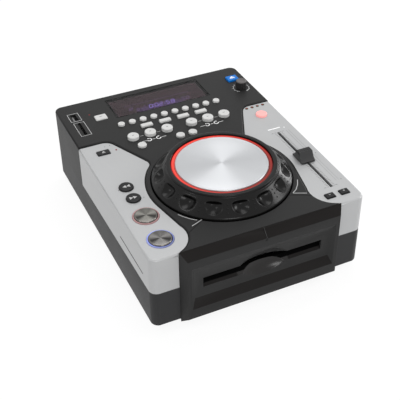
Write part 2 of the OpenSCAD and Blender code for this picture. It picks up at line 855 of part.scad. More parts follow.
// Rectangular key built the same way.
module flat_key(pos, size, r, h, z_top, t) {
    z0 = z_top - t - flange_gap;
    edge_z = z_top + h - flat_edge;
    wide = size + 2 * [flange_w, flange_w];
    narrow = size - 2 * [flat_in, flat_in];
    translate([pos[0], pos[1], 0]) {
        translate([0, 0, z0 - eps]) linear_extrude(edge_z - z0 + eps) rounded_rect(size[0], size[1], r);
        translate([0, 0, edge_z - eps]) linear_extrude(flat_edge + eps)
            rounded_rect(narrow[0], narrow[1], max(r - flat_in, flat_in / 2));
        translate([0, 0, z0 - flange_t]) linear_extrude(flange_t) rounded_rect(wide[0], wide[1], r + flat_in);
    }
    disc_at(pos, key_stem_r, z_stem, z0 - flange_t + eps);
}

module panel_round(pos, r, h) {
    color(key_grey) round_key(pos, r, h, z_panel, panel_t);
}

module small_key(i) { panel_round([small_x[i], small_y], small_r, key_h); }
module large_key(i) { panel_round([large_x[i], large_y], large_r, large_h); }
module medium_key(i) { panel_round([medium_x[i], medium_y], medium_r, key_h); }

module bar_key(i) {
    color(key_grey) flat_key([bar_x[i], bar_y], [bar_l, bar_d], bar_r, key_h, z_panel, panel_t);
}

module source_key() { color(key_grey) flat_key(source_pos, source_size, source_r, source_h, z_panel, panel_t); }
module open_key() { color("#0a78d0") flat_key(open_pos, open_size, open_r, key_h, z_panel, panel_t); }
module wing_key() { color(dark) flat_key(wing_key_pos, wing_key_size, wing_key_r, wing_key_h, z_wing, wing_t); }
module lit_key() { color("#f2b8b8") round_key(lit_pos, lit_r, key_h, z_wing, wing_t); }
module search_key(i) { color(dark) round_key(search_pos[i], search_r, search_h, z_wing, wing_t); }
module bend_key(i) { color(dark) flat_key(bend_pos[i], bend_size, wing_key_r, bend_h, z_wing, wing_t); }

// Metal button inside a ring that lights up; the two press down together.
module transport_button(pos, ring_colour) {
    side_h = transport_h - halo_h - button_edge;
    color(ring_colour) round_key(pos, halo_r, halo_h, z_wing, wing_t);
    color(steel) translate([pos[0], pos[1], z_wing + halo_h]) {
        translate([0, 0, -eps]) cylinder(r = transport_r, h = side_h + eps, $fn = round_fn);
        translate([0, 0, side_h])
            cylinder(r1 = transport_r, r2 = transport_r - button_edge, h = button_edge, $fn = round_fn);
    }
}

module cue_button() { transport_button(cue_pos, "#e0362c"); }
module play_button() { transport_button(play_pos, "#3e6fe8"); }

// ---------- control boards ----------

// Board under a group of keys, hung from the shell by four posts. The front posts may stand further in.
module key_board(first, last, reach, z_shell, front_in = 0) {
    low = first - reach[0];
    high = last + reach[1];
    inset = post_r + post_edge;
    color(board_green) box([low[0], low[1], z_board - board_t], [high[0], high[1], z_board]);
    color(steel) for (end = [[low[1] + inset, inset + front_in], [high[1] - inset, inset]])
        for (x = [low[0] + end[1], high[0] - end[1]]) disc_at([x, end[0]], post_r, z_board - eps, z_shell);
}

module key_switch(pos) {
    color("#1c1c1c") translate([pos[0], pos[1], z_board - eps]) linear_extrude(switch_h)
        square([switch_w, switch_w], center = true);
}

module control_boards() {
    key_board([large_x[0], medium_y], [large_x[5], small_y], rows_board, z_panel_low, rows_post_in);
    key_board(source_pos, source_pos, source_board, z_panel_low);
    key_board([open_pos[0], knob_pos[1]], open_pos, rear_board, z_panel_low);
    for (p = [cue_pos, play_pos]) key_board(p, p, button_board, z_wing_low);
    key_board(search_pos[1], [search_pos[0][0], wing_key_pos[1]], search_board, z_wing_low);
    key_board(lit_pos, [lit_pos[0], lamp_y], lit_board, z_wing_low);
    key_board(bend_pos[0], bend_pos[1], bend_board, z_wing_low);
    for (x = small_x) key_switch([x, small_y]);
    for (x = bar_x) key_switch([x, bar_y]);
    for (x = large_x) key_switch([x, large_y]);
    for (x = medium_x) key_switch([x, medium_y]);
    for (p = concat([source_pos, open_pos, wing_key_pos, lit_pos, cue_pos, play_pos], search_pos, bend_pos))
        key_switch(p);
    for (x = lamp_x) color("#7c1f1c") disc_at([x, lamp_y], lamp_r, z_board - eps, z_wing + 0.2);
    encoder_body();
    fader_track();
}

module encoder_body() {
    color(steel) difference() {
        translate([knob_pos[0], knob_pos[1], z_board - eps]) linear_extrude(encoder_deep)
            square([encoder_w, encoder_w], center = true);
        disc_at(knob_pos, knob_shaft_r + fit, z_board + 1, z_board + encoder_deep + past);
    }
}

// Slide resistor under the wing: a long channel that the fader cap's stem runs in.
module fader_track() {
    end = 4;
    floor_gap = 1.5;
    color(steel) translate([fader_x, fader_y, z_wing_low - track_h]) difference() {
        linear_extrude(track_h) square([track_w, fader_slot_l + 2 * end], center = true);
        translate([0, 0, track_h - stem_deep - floor_gap]) linear_extrude(track_h)
            square([fader_slot_w, fader_slot_l + past], center = true);
    }
}

// ---------- knob and fader cap ----------

module browse_knob() {
    low = z_panel + knob_gap;
    edge_z = z_panel + knob_h - knob_edge;
    shaft_gap = 0.3;
    color("#4a4a4c") {
        difference() {
            union() {
                disc_at(knob_pos, knob_r, low, edge_z);
                translate([knob_pos[0], knob_pos[1], edge_z])
                    cylinder(r1 = knob_r, r2 = knob_r - knob_edge, h = knob_edge, $fn = round_fn);
            }
            translate([knob_pos[0], knob_pos[1], 0]) for (i = [0:grip_count - 1]) rotate(i * 360 / grip_count)
                translate([knob_r + grip_r / 2, 0, z_panel])
                    cylinder(r = grip_r, h = knob_h - knob_edge - grip_r, $fn = small_fn);
        }
        disc_at(knob_pos, knob_shaft_r, z_board + 1 + shaft_gap, low + past);
    }
}

// Finger-shaped cap: a ribbed ridge across the middle, with hollow slopes before and behind it.
module fader_cap() {
    steps = 6;
    rib_r = 0.5;
    rib_pitch = 1.8;
    waist_r = 5;
    waist_in = 1.8;
    slope = [for (i = [0:steps]) cap_slope(i / steps)];
    color(rubber) translate([fader_x, fader_y, z_wing + cap_lift]) {
        difference() {
            translate([-cap_w / 2, 0, 0]) rotate([90, 0, 90]) linear_extrude(cap_w)
                polygon(concat([[-cap_l / 2, 0], [cap_l / 2, 0]], slope,
                               [for (i = [steps:-1:0]) [-slope[i][0], slope[i][1]]]));
            for (i = [-1:1]) translate([0, i * rib_pitch, cap_h]) rotate([0, 90, 0])
                cylinder(r = rib_r, h = cap_w + 2 * past, center = true, $fn = small_fn);
            for (sx = [-1, 1]) translate([sx * (cap_w / 2 + waist_r - waist_in), 0, cap_h + waist_r - 2])
                rotate([90, 0, 0]) cylinder(r = waist_r, h = cap_l + 2 * past, center = true, $fn = round_fn);
        }
        translate([0, 0, -stem_deep + eps]) linear_extrude(stem_deep) square([stem_w, stem_l], center = true);
    }
}

// Point on the cap's rear slope, from its low end (s = 0) to the ridge (s = 1).
function cap_slope(s) =
    [cap_l / 2 - (cap_l - cap_ridge) / 2 * s, cap_lip + (cap_h - cap_lip) * (0.25 * s + 0.75 * pow(s, 2.6))];

// ---------- sockets in the top ----------

module media_sockets() {
    low = z_panel_low - socket_h;
    tongue = [1.8, usb_size[1] - 2];
    tongue_side = 1.1;
    tongue_x = usb_pos[0] - usb_size[0] / 2 + tongue_side;
    socket_walls(usb_pos, usb_size);
    color("#e8e8e8") box([tongue_x, usb_pos[1] - tongue[1] / 2, low],
                         [tongue_x + tongue[0], usb_pos[1] + tongue[1] / 2, z_panel - 2]);
    socket_walls(card_pos, card_size);
    color(board_green) box([usb_pos[0] - 8, card_pos[1] - card_size[1] / 2 - 3, low - board_t],
                           [usb_pos[0] + 10, usb_pos[1] + usb_size[1] / 2 + 4, low + eps]);
}

// Metal shell of a socket, open at the top, with its mouth against the panel.
module socket_walls(pos, size) {
    bottom = 0.8;
    color(steel) translate([pos[0], pos[1], z_panel_low - socket_h]) difference() {
        linear_extrude(socket_h) square(size + 2 * [socket_t, socket_t], center = true);
        translate([0, 0, bottom]) linear_extrude(socket_h) square(size, center = true);
    }
}

// ---------- jog wheel ----------

module jog_spindle() {
    low = z_well - well_wall;
    lift = jog_gap - 0.3;
    color(steel) difference() {
        union() {
            disc_at([0, jog_y], spindle_flange_r, low - spindle_flange_t, low);
            disc_at([0, jog_y], spindle_r + boss_w - boss_gap, low - eps, low + well_wall + lift - eps);
            disc_at([0, jog_y], spindle_r, low, z_jog_low + spindle_in);
        }
        disc_at([0, jog_y], screw_r, low - spindle_flange_t - past, low + spindle_flange_t + past);
    }
}

// Finger wheel: skirt with teardrop dimples, collar, and a seat for the lit ring and the plate.
module jog_wheel() {
    low = z_jog_low;
    seat = z_ring - ring_t;
    plate_z = z_plate - plate_t;
    top_in = seat - 2.4;
    seat_w = 4;
    bore = spindle_r + fit;
    hub = spindle_r + hub_wall;
    wall_r = ring_r + ring_gap;
    edge = 0.4;
    color("#4b4b4d") translate([0, jog_y, 0]) difference() {
        rotate_extrude($fn = wheel_fn) polygon([
            [bore, low], [jog_r, low], [jog_r, z_panel + wheel_foot], slope_low, slope_high,
            [collar_r, z_collar - collar_h], [collar_r, z_collar - 2 * edge], [collar_r - 2 * edge, z_collar],
            [wall_r + edge, z_collar], [wall_r, z_collar - edge], [wall_r, seat],
            [plate_r - seat_w, seat], [plate_r - seat_w, plate_z], [0, plate_z],
            [0, top_in], [bore, top_in]]);
        // Hollow underside between the hub and the skirt.
        rotate_extrude($fn = round_fn) polygon([
            [hub, low - past], [jog_r - wheel_wall, low - past], [jog_r - wheel_wall, z_panel - 2.5],
            [collar_r - 1, z_panel + 1.5], [collar_r - seat_w, top_in], [hub, top_in]]);
        for (i = [0:dimple_count - 1]) rotate(dimple_phase + i * 360 / dimple_count) finger_dimple();
    }
}

// Hollow for a fingertip: a ball's print in the middle of the slope.
module finger_dimple() {
    slope = slope_high - slope_low;
    out = [slope[1], -slope[0]] / norm(slope);
    c = (slope_low + slope_high) / 2 + out * (dimple_r - dimple_deep);
    translate([c[0], 0, c[1]]) sphere(r = dimple_r, $fn = 64);
}

module jog_plate() {
    edge = 0.5;
    color(silver) translate([0, jog_y, z_plate - plate_t]) {
        cylinder(r = plate_r, h = plate_t - edge, $fn = wheel_fn);
        translate([0, 0, plate_t - edge]) cylinder(r1 = plate_r, r2 = plate_r - edge, h = edge, $fn = wheel_fn);
    }
}

module jog_ring() {
    color("#ff4a3d") translate([0, jog_y, z_ring - ring_t]) difference() {
        cylinder(r = ring_r, h = ring_t, $fn = wheel_fn);
        translate([0, 0, -past]) cylinder(r = plate_r + ring_gap, h = ring_t + 2 * past, $fn = wheel_fn);
    }
}

// ---------- rear sockets and mains inlet ----------

// Barrel that stands out of the rear wall, with its collar and its body behind the wall.
module phono_socket(x) {
    half = socket_body / 2;
    back = wall + socket_body;
    translate([x, y_rear, socket_z]) rotate([-90, 0, 0]) difference() {
        union() {
            translate([0, 0, -back]) cylinder(r = phono_r, h = back + phono_l, $fn = round_fn);
            cylinder(r = phono_r + phono_collar, h = 1, $fn = round_fn);
            translate([-half, -half, -back]) cube(socket_body);
        }
        translate([0, 0, -2]) cylinder(r = socket_bore_r, h = phono_l + 2 + past, $fn = round_fn);
    }
}

module rear_sockets() {
    board_z = socket_z - socket_body / 2;
    board_y = [y_rear - wall - 18, y_rear - wall - 0.3];
    back = wall + jack_body[1];
    color("#c9a24a") for (x = rear_x) phono_socket(x);
    color("#2b2b2b") translate([jack_x, y_rear, socket_z]) rotate([-90, 0, 0]) difference() {
        union() {
            translate([0, 0, -back]) cylinder(r = jack_r + jack_wall, h = back + 1, $fn = round_fn);
            translate([-jack_body[0] / 2, -socket_body / 2, -back])
                cube([jack_body[0], socket_body, jack_body[1]]);
        }
        translate([0, 0, 1 - jack_l]) cylinder(r = jack_r, h = jack_l + past, $fn = round_fn);
    }
    color(board_green) box([rear_x[0] - 9, board_y[0], board_z - board_t],
                           [jack_x + 5.2, board_y[1], board_z + eps]);
    color(steel) for (x = [rear_x[0] - 5, jack_x + 2])
        disc_at([x, board_y[0] + 3], 2.2, z_floor, board_z - board_t + eps);
}

// Mains inlet and the power rocker's seat in one frame, clipped into the rear wall.
module mains_inlet() {
    face = y_rear + plate_out;
    back = face - inlet_deep;
    pin = [1, 2];
    color(rubber) difference() {
        union() {
            inlet_box(0, [y_rear, face]);
            inlet_box(inlet_lip + inlet_gap, [y_rear - inlet_deep - inlet_back, y_rear + eps]);
        }
        box([inlet_mouth_x - inlet_w / 2, back, socket_z - inlet_h / 2],
            [inlet_mouth_x + inlet_w / 2, face + past, socket_z + inlet_h / 2]);
        translate([rocker_x, y_rear, socket_z]) rotate([0, 90, 0]) {
            cylinder(r = rocker_r + rocker_gap, h = rocker_w + 0.8, center = true, $fn = round_fn);
            cylinder(r = rocker_pin_r + fit, h = rocker_w + 4, center = true, $fn = round_fn);
        }
    }
    color(steel) for (p = [[-7, 1], [0, -3], [7, 1]])
        box([inlet_mouth_x + p[0] - pin[0], back - eps, socket_z + p[1] - pin[1]],
            [inlet_mouth_x + p[0] + pin[0], face - 3, socket_z + p[1] + pin[1]]);
}

// Rocker on its pin, with a shallow V across its face, lying on its lower half at rest.
module power_rocker() {
    end = rocker_face + rocker_r * tan(rocker_swing / 2);
    color("#171717") translate([rocker_x, y_rear, socket_z]) rotate([-rocker_swing / 2, 0, 0]) {
        translate([-rocker_w / 2, 0, 0]) rotate([90, 0, 90]) linear_extrude(rocker_w) intersection() {
            circle(rocker_r, $fn = round_fn);
            polygon([[-rocker_r, -rocker_r], [end, -rocker_r], [rocker_face, 0], [end, rocker_r],
                     [-rocker_r, rocker_r]]);
        }
        rotate([0, 90, 0])
            cylinder(r = rocker_pin_r, h = rocker_w + 2 * rocker_pin_out, center = true, $fn = round_fn);
    }
}

// ---------- boards inside ----------

// Board that stands on four posts, with the given blocks on it: place from its left front corner, size, height.
module floor_board(x, parts) {
    post_in = 4;
    low = [x[0], floor_board_y[0]];
    high = [x[1], floor_board_y[1]];
    top = floor_board_z + board_t;
    color(board_green) box([low[0], low[1], floor_board_z], [high[0], high[1], top]);
    color(steel) for (px = [low[0] + post_in, high[0] - post_in], py = [low[1] + post_in, high[1] - post_in])
        disc_at([px, py], 2.5, z_floor, floor_board_z + eps);
    for (part = parts) color(part[3])
        box([low[0] + part[0][0], low[1] + part[0][1], top - eps],
            [low[0] + part[0][0] + part[1][0], low[1] + part[0][1] + part[1][1], top + part[2]]);
}

module main_board() {
    plug_y = floor_board_y[1] - floor_board_y[0] - 9;
    chips = [[[12, 12], 22], [[44, 10], 16], [[66, 14], 12]];
    plugs = [14, 38, 62];
    floor_board(main_x, concat([for (c = chips) [c[0], [c[1], c[1]], 2.5, "#1c1c1c"]],
                               [for (x = plugs) [[x, plug_y], [16, 6], 8, "#e8e0c8"]]));
}

module power_supply() {
    depth = floor_board_y[1] - floor_board_y[0];
    width = supply_x[1] - supply_x[0];
    can_r = 5;
    can_h = 18;
    can_x = [for (side = [35.5, 22.5, 9.5]) supply_x[1] - side];
    top = floor_board_z + board_t;
    floor_board(supply_x, [[[12, 10], [30, 24], 24, "#8c6b2e"],
                           [[52, depth - 10], [width - 64, 3], 20, steel]]);
    color("#20242c") for (x = can_x) disc_at([x, floor_board_y[0] + 16], can_r, top - eps, top + can_h);
}

// ---------- disc drive ----------

// Folded sheet box round the disc's lane, open at the front, on four legs.
module drive_chassis() {
    x = drive_w / 2;
    back = drive_front + drive_d;
    leg_in = 8;
    color("#a3a6a8") {
        difference() {
            box([-x, drive_front, drive_low], [x, back, drive_high]);
            box([drive_t - x, drive_front - past, z_sheet],
                [x - drive_t, back - drive_t, drive_high - drive_t]);
            for (s = [-1, 1]) translate([s * x, roller_y, roller_z]) rotate([0, 90, 0])
                cylinder(r = roller_shaft_r + fit, h = 4 * drive_t, center = true, $fn = round_fn);
        }
        for (sx = [-1, 1], y = [drive_front + leg_in, back - leg_in])
            disc_at([sx * (x - 6), y], leg_r, z_floor, drive_low + eps);
        spindle_motor();
        sled_rods();
        gear_post();
    }
}

// Motor that turns the disc, with a bore for the turntable's shaft.
module spindle_motor() {
    difference() {
        disc_at([0, y_disc], hub_r - 1, z_sheet - eps, z_sheet + motor_h);
        disc_at([0, y_disc], turn_shaft_r + fit, drive_low, z_sheet + motor_h + past);
    }
}

// Two round rods that the sled slides on, held at both ends by lugs.
module sled_rods() {
    for (s = [-1, 1]) {
        translate([s * rod_x, rod_front, rod_z]) rotate([-90, 0, 0])
            cylinder(r = rod_r, h = rod_rear - rod_front, $fn = round_fn);
        for (y = [rod_front, rod_rear]) box([s * rod_x - lug[0] / 2, y - lug[1] / 2, z_sheet - eps],
                                            [s * rod_x + lug[0] / 2, y + lug[1] / 2, rod_z + lug[2]]);
    }
}

module gear_post() {
    post = 3;
    z = rod_z - gear_t / 2 - turn_gap;
    disc_at([gear_x, gear_y], post, z_sheet - eps, z);
    disc_at([gear_x, gear_y], gear_pin_r, z - eps, z + gear_t + 1.5);
}

module turntable() {
    low = z_sheet + motor_h + turn_gap;
    top = z_disc - disc_lane - 0.4;
    cone = [7.3, 6.6, 1.4];
    hub_t = 3.6;
    neck_r = 5;
    under = top - cone[2] - hub_t;
    color(dark) {
        disc_at([0, y_disc], hub_r, under, under + hub_t);
        translate([0, y_disc, top - cone[2] - eps])
            cylinder(r1 = cone[0], r2 = cone[1], h = cone[2], $fn = round_fn);
        disc_at([0, y_disc], neck_r, low, under + eps);
        disc_at([0, y_disc], turn_shaft_r, z_sheet + 0.5, low + past);
    }
}

// Sled with the lens, its two bearings and the rack along its right side.
module pickup_sled() {
    half = sled_l / 2;
    body_half = rod_x + 4.5;
    rack_x = gear_x - gear_r;
    top = rod_z + sled_t / 2;
    lens_r = 2.3;
    lens_z = rod_z + 5;
    color("#33373d") difference() {
        union() {
            box([-body_half, sled_y - half, rod_z - sled_t / 2], [body_half, sled_y + half, top]);
            box([body_half - eps, gear_y - sled_travel - gear_pitch, rod_z - gear_t / 2],
                [rack_x - tooth_in, gear_y + gear_pitch, rod_z + gear_t / 2]);
            disc_at([0, sled_y], lens_r + 3.2, top - eps, lens_z + 1);
            rack_teeth(rack_x);
        }
        for (s = [-1, 1]) translate([s * rod_x, sled_y, rod_z]) rotate([90, 0, 0])
            cylinder(r = rod_r + fit, h = sled_l + 2 * past, center = true, $fn = round_fn);
        disc_at([0, sled_y], lens_r + 0.1, lens_z, lens_z + 2);
    }
    color("#7fa6d8") disc_at([0, sled_y], lens_r, lens_z - eps, lens_z + 0.7);
}

// Teeth one pitch apart, with play; the gear's tooth points between two of them at rest.
module rack_teeth(x) {
    for (k = [-ceil(sled_travel / gear_pitch) : 0])
        translate([x, gear_y + (k + 0.5) * gear_pitch, rod_z - gear_t / 2]) linear_extrude(gear_t)
            polygon([[-tooth_in - eps, -tooth_foot / 2], [tooth_out, -tooth_tip / 2],
                     [tooth_out, tooth_tip / 2], [-tooth_in - eps, tooth_foot / 2]]);
}

module sled_gear() {
    root = gear_r - tooth_in;
    tip = gear_r + tooth_out;
    sunk = 0.5;
    color("#d9d9cf") translate([gear_x, gear_y, rod_z - gear_t / 2]) difference() {
        union() {
            cylinder(r = root, h = gear_t, $fn = round_fn);
            for (i = [0:gear_teeth - 1]) rotate(180 + i * 360 / gear_teeth) linear_extrude(gear_t)
                polygon([[root - sunk, -tooth_foot / 2], [tip, -tooth_tip / 2],
                         [tip, tooth_tip / 2], [root - sunk, tooth_foot / 2]]);
        }
        translate([0, 0, -past]) cylinder(r = gear_pin_r + fit, h = gear_t + 2 * past, $fn = round_fn);
    }
}

module feed_roller() {
    end_gap = 4;
    shaft_out = 1.5;
    color(rubber) translate([0, roller_y, roller_z]) rotate([0, 90, 0]) {
        cylinder(r = roller_r, h = drive_w - 2 * (drive_t + end_gap), center = true, $fn = round_fn);
        cylinder(r = roller_shaft_r, h = drive_w + 2 * shaft_out, center = true, $fn = round_fn);
    }
}

// ---------- the nodes ----------

base_shell();
top_panel();
left_wing();
right_wing();
slot_bezel();
display_window();
display_module();
control_boards();
main_board();
power_supply();
rear_sockets();
mains_inlet();
power_rocker();
media_sockets();
feet();
case_screws();
jog_spindle();
jog_wheel();
jog_plate();
jog_ring();
browse_knob();
fader_cap();
drive_chassis();
turntable();
pickup_sled();
sled_gear();
feed_roller();
source_key();
open_key();
wing_key();
lit_key();
cue_button();
play_button();
for (i = [0:1]) search_key(i);
for (i = [0:1]) bend_key(i);
for (i = [0:9]) small_key(i);
for (i = [0:3]) bar_key(i);
for (i = [0:5]) large_key(i);
for (i = [0:2]) medium_key(i);
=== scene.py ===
import math

import bmesh
import bpy
from mathutils import Matrix, Vector


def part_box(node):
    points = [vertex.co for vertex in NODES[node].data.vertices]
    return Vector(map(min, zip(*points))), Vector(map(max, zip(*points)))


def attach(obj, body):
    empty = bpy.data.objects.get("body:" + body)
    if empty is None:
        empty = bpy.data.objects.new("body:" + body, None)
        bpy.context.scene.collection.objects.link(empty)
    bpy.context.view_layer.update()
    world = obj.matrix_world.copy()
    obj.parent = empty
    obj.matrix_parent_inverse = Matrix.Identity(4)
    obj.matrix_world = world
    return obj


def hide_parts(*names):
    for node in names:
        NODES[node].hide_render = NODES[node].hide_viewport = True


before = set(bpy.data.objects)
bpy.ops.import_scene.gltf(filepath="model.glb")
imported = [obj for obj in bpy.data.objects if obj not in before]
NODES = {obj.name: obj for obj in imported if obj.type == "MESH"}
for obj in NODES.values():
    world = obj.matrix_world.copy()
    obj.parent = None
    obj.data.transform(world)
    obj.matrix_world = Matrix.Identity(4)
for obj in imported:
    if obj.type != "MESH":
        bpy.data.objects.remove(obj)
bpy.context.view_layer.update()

bl_info = {
    "name": "Tabletop disc player",
    "version": (1, 0, 0),
    "blender": (4, 5, 0),
    "location": "3D View > Sidebar > Disc player",
    "description": "Dresses the packed disc player: case, jog wheel, keys, display, prints and studio",
    "category": "Object",
}

MM = 0.001
# Points nearer than this are one point, in millimetres.
WELD = 0.002

# Places of the CAD model, in millimetres.
Z_WING = 86.7
Z_PANEL = 88.0
JOG = (0.0, -55.0)
KNOB = (95.4, 90.8)
FADER_X = 89.1
LAMPS_Y = 49.2
# Thickness of the shell under each surface that has keys, of a key's flange, and the foot of its stem.
SHELL = {Z_PANEL: 3.0, Z_WING: 2.5}
KEY_FLANGE = 1.2
STEM_FOOT = 79.7
SIDE_X = 110.0
FRONT_Y, REAR_Y = -140.0, 140.0
# Indices of the axes.
Y, Z = 1, 2
# Upright face of the front block's recess, and half the width of its thumb scoop.
FACE_Y = -141.4
SCOOP_X = 26.5


# ---------- mesh shapes ----------


def to_mm(point):
    return Vector(point) / MM


def near(a, b, tolerance=0.05):
    return abs(a - b) < tolerance


def polar(centre, radius, angle):
    return centre[0] + radius * math.cos(angle), centre[1] + radius * math.sin(angle)


def cad_shape(node):
    """A CAD node's mesh as a bmesh in millimetres, joined, with its flat faces made whole."""
    bm = bmesh.new()
    bm.from_mesh(NODES[node].data)
    bmesh.ops.scale(bm, vec=(1 / MM,) * 3, verts=bm.verts)
    bmesh.ops.remove_doubles(bm, verts=bm.verts, dist=0.003)
    bmesh.ops.dissolve_limit(bm, angle_limit=math.radians(1), verts=bm.verts, edges=bm.edges)
    return bm


def to_mesh(bm, name, sharp=30):
    """Mesh in metres with smooth faces that break at edges sharper than the angle."""
    bmesh.ops.scale(bm, vec=(MM,) * 3, verts=bm.verts)
    mesh = bpy.data.meshes.new(name)
    bm.to_mesh(mesh)
    bm.free()
    smooth_by_angle(mesh, sharp)
    return mesh


def smooth_by_angle(mesh, sharp):
    mesh.polygons.foreach_set("use_smooth", [True] * len(mesh.polygons))
    mesh.set_sharp_from_angle(angle=math.radians(sharp))


def outward(bm):
    """Joins a bmesh's doubles and turns its faces outwards."""
    bmesh.ops.remove_doubles(bm, verts=bm.verts, dist=WELD)
    bmesh.ops.recalc_face_normals(bm, faces=bm.faces)


def round_edges(obj, width_at, segments=3):
    """Bevels each convex edge to the width in millimetres that width_at gives for its middle."""
    mesh = obj.data
    bm = bmesh.new()
    bm.from_mesh(mesh)
    layer = bm.edges.layers.float.new("bevel_weight_edge")
    widths = {}
    for edge in bm.edges:
        if len(edge.link_faces) == 2 and edge.calc_face_angle_signed(0) > math.radians(24):
            width = width_at((to_mm(edge.verts[0].co) + to_mm(edge.verts[1].co)) / 2, edge)
            if width > 0:
                widths[edge] = width
    top = max(widths.values())
    for edge, width in widths.items():
        edge[layer] = width / top
    bm.to_mesh(mesh)
    bm.free()
    bevel = obj.modifiers.new("Rounded edges", "BEVEL")
    bevel.limit_method = "WEIGHT"
    bevel.width = top * MM
    bevel.segments = segments
    bevel.use_clamp_overlap = False
    bevel.harden_normals = True
    bevel.miter_outer = "MITER_ARC"


def turned(bm, profile, centre, segments):
    """Adds the shape that a closed profile of (radius, height) makes round an upright axis."""
    rings = []
    for i in range(segments):
        a = math.tau * i / segments
        rings.append([None if r < 1e-6 and i else bm.verts.new((*polar(centre, r, a), z)) for r, z in profile])
    for ring in rings[1:]:
        for k, vert in enumerate(ring):
            if vert is None:
                ring[k] = rings[0][k]
    count = len(profile)
    for i in range(segments):
        a, b = rings[i], rings[(i + 1) % segments]
        for k in range(count):
            m = (k + 1) % count
            corners = []
            for vert in (a[k], b[k], b[m], a[m]):
                if vert not in corners:
                    corners.append(vert)
            if len(corners) > 2:
                bm.faces.new(corners)


def prism(bm, points, z0, z1):
    """Adds an upright prism over a simple polygon."""
    low = [bm.verts.new((x, y, z0)) for x, y in points]
    high = [bm.verts.new((x, y, z1)) for x, y in points]
    bm.faces.new(low[::-1])
    bm.faces.new(high)
    for i in range(len(points)):
        j = (i + 1) % len(points)
        bm.faces.new((low[i], low[j], high[j], high[i]))


def block(bm, low, high):
    prism(bm, [(low[0], low[1]), (high[0], low[1]), (high[0], high[1]), (low[0], high[1])], low[2], high[2])


def ribbon(points, width, closed=False):
    """Outline of a flat line of even width along the points."""
    left, right = [], []
    count = len(points)
    for i, (x, y) in enumerate(points):
        before = points[i - 1] if i or closed else None
        after = points[(i + 1) % count] if i < count - 1 or closed else None
        steps = []
        if before:
            steps.append(Vector((x - before[0], y - before[1])).normalized())
        if after:
            steps.append(Vector((after[0] - x, after[1] - y)).normalized())
        way = sum(steps, Vector((0, 0))).normalized()
        side = Vector((-way.y, way.x))
        reach = width / 2 / max(0.5, side.dot(Vector((-steps[0].y, steps[0].x))))
        left.append((x + side.x * reach, y + side.y * reach))
        right.append((x - side.x * reach, y - side.y * reach))
    return left, right


def line(bm, points, width, z0, z1, closed=False):
    """Adds a flat line, drawn with square corners, between two heights."""
    left, right = ribbon(points, width, closed)
    count = len(points)
    rows = [[bm.verts.new((x, y, z)) for x, y in row] for row, z in
            ((left, z0), (right, z0), (right, z1), (left, z1))]
    for i in range(count if closed else count - 1):
        j = (i + 1) % count
        for k in range(4):
            m = (k + 1) % 4
            bm.faces.new((rows[k][i], rows[m][i], rows[m][j], rows[k][j]))
    if not closed:
        bm.faces.new([row[0] for row in rows][::-1])
        bm.faces.new([row[-1] for row in rows])


def arc_points(centre, radius, start, end, steps=24):
    return [polar(centre, radius, math.radians(start + (end - start) * i / steps)) for i in range(steps + 1)]


def spot(bm, centre, radius, z0, z1, segments=24):
    prism(bm, arc_points(centre, radius, 0, 360 - 360 / segments, segments - 1), z0, z1)


def new_object(name, data):
    obj = bpy.data.objects.new(name, data)
    bpy.context.scene.collection.objects.link(obj)
    return obj


# ---------- nodes ----------


def fill(tree, node, inputs):
    """Links each input to what is given for it, which may be a node's first output, or sets it to the value."""
    for label, value in inputs.items():
        value = getattr(value, "source", value)
        if hasattr(value, "outputs"):
            value = value.outputs[0]
        if hasattr(value, "links"):
            tree.links.new(value, node.inputs[label])
        else:
            node.inputs[label].default_value = value
    return node


def add_node(tree, kind, inputs, **settings):
    node = tree.nodes.new(kind)
    for setting, value in settings.items():
        setattr(node, setting, value)
    return fill(tree, node, inputs)


class Value:
    """A number that a node puts out. Reckoning with it adds math nodes to the tree."""

    def __init__(self, tree, source):
        self.tree, self.source = tree, source

    def math(self, operation, *others):
        return math_node(self.tree, operation, self, *others)


def math_node(tree, operation, *values):
    return Value(tree, add_node(tree, "ShaderNodeMath", dict(enumerate(values)), operation=operation))


for sign, operation in (("add", "ADD"), ("sub", "SUBTRACT"), ("mul", "MULTIPLY"), ("truediv", "DIVIDE"),
                        ("pow", "POWER")):
    setattr(Value, f"__{sign}__", lambda self, other, name=operation: self.math(name, other))
    setattr(Value, f"__r{sign}__", lambda self, other, name=operation: math_node(self.tree, name, other, self))


def object_place(tree):
    return tree.nodes.new("ShaderNodeTexCoord").outputs["Object"]


def x_and_y(tree, vector=None):
    """The first two coordinates of the vector, or else of the place on the object."""
    parts = add_node(tree, "ShaderNodeSeparateXYZ", {0: vector or object_place(tree)}).outputs
    return Value(tree, parts[0]), Value(tree, parts[1])


def scaled(tree, vector, factor):
    return add_node(tree, "ShaderNodeVectorMath", {0: vector, "Scale": factor}, operation="SCALE")


def blend(tree, share, first, second):
    """Colour between two colours."""
    return add_node(tree, "ShaderNodeMix", {0: share, 6: first, 7: second}, data_type="RGBA").outputs[2]


def bumps(tree, height, distance):
    """Normals of a height map whose full height is the distance in millimetres."""
    return add_node(tree, "ShaderNodeBump", {"Distance": distance * MM, "Height": height})


# ---------- repeats made by Geometry Nodes ----------


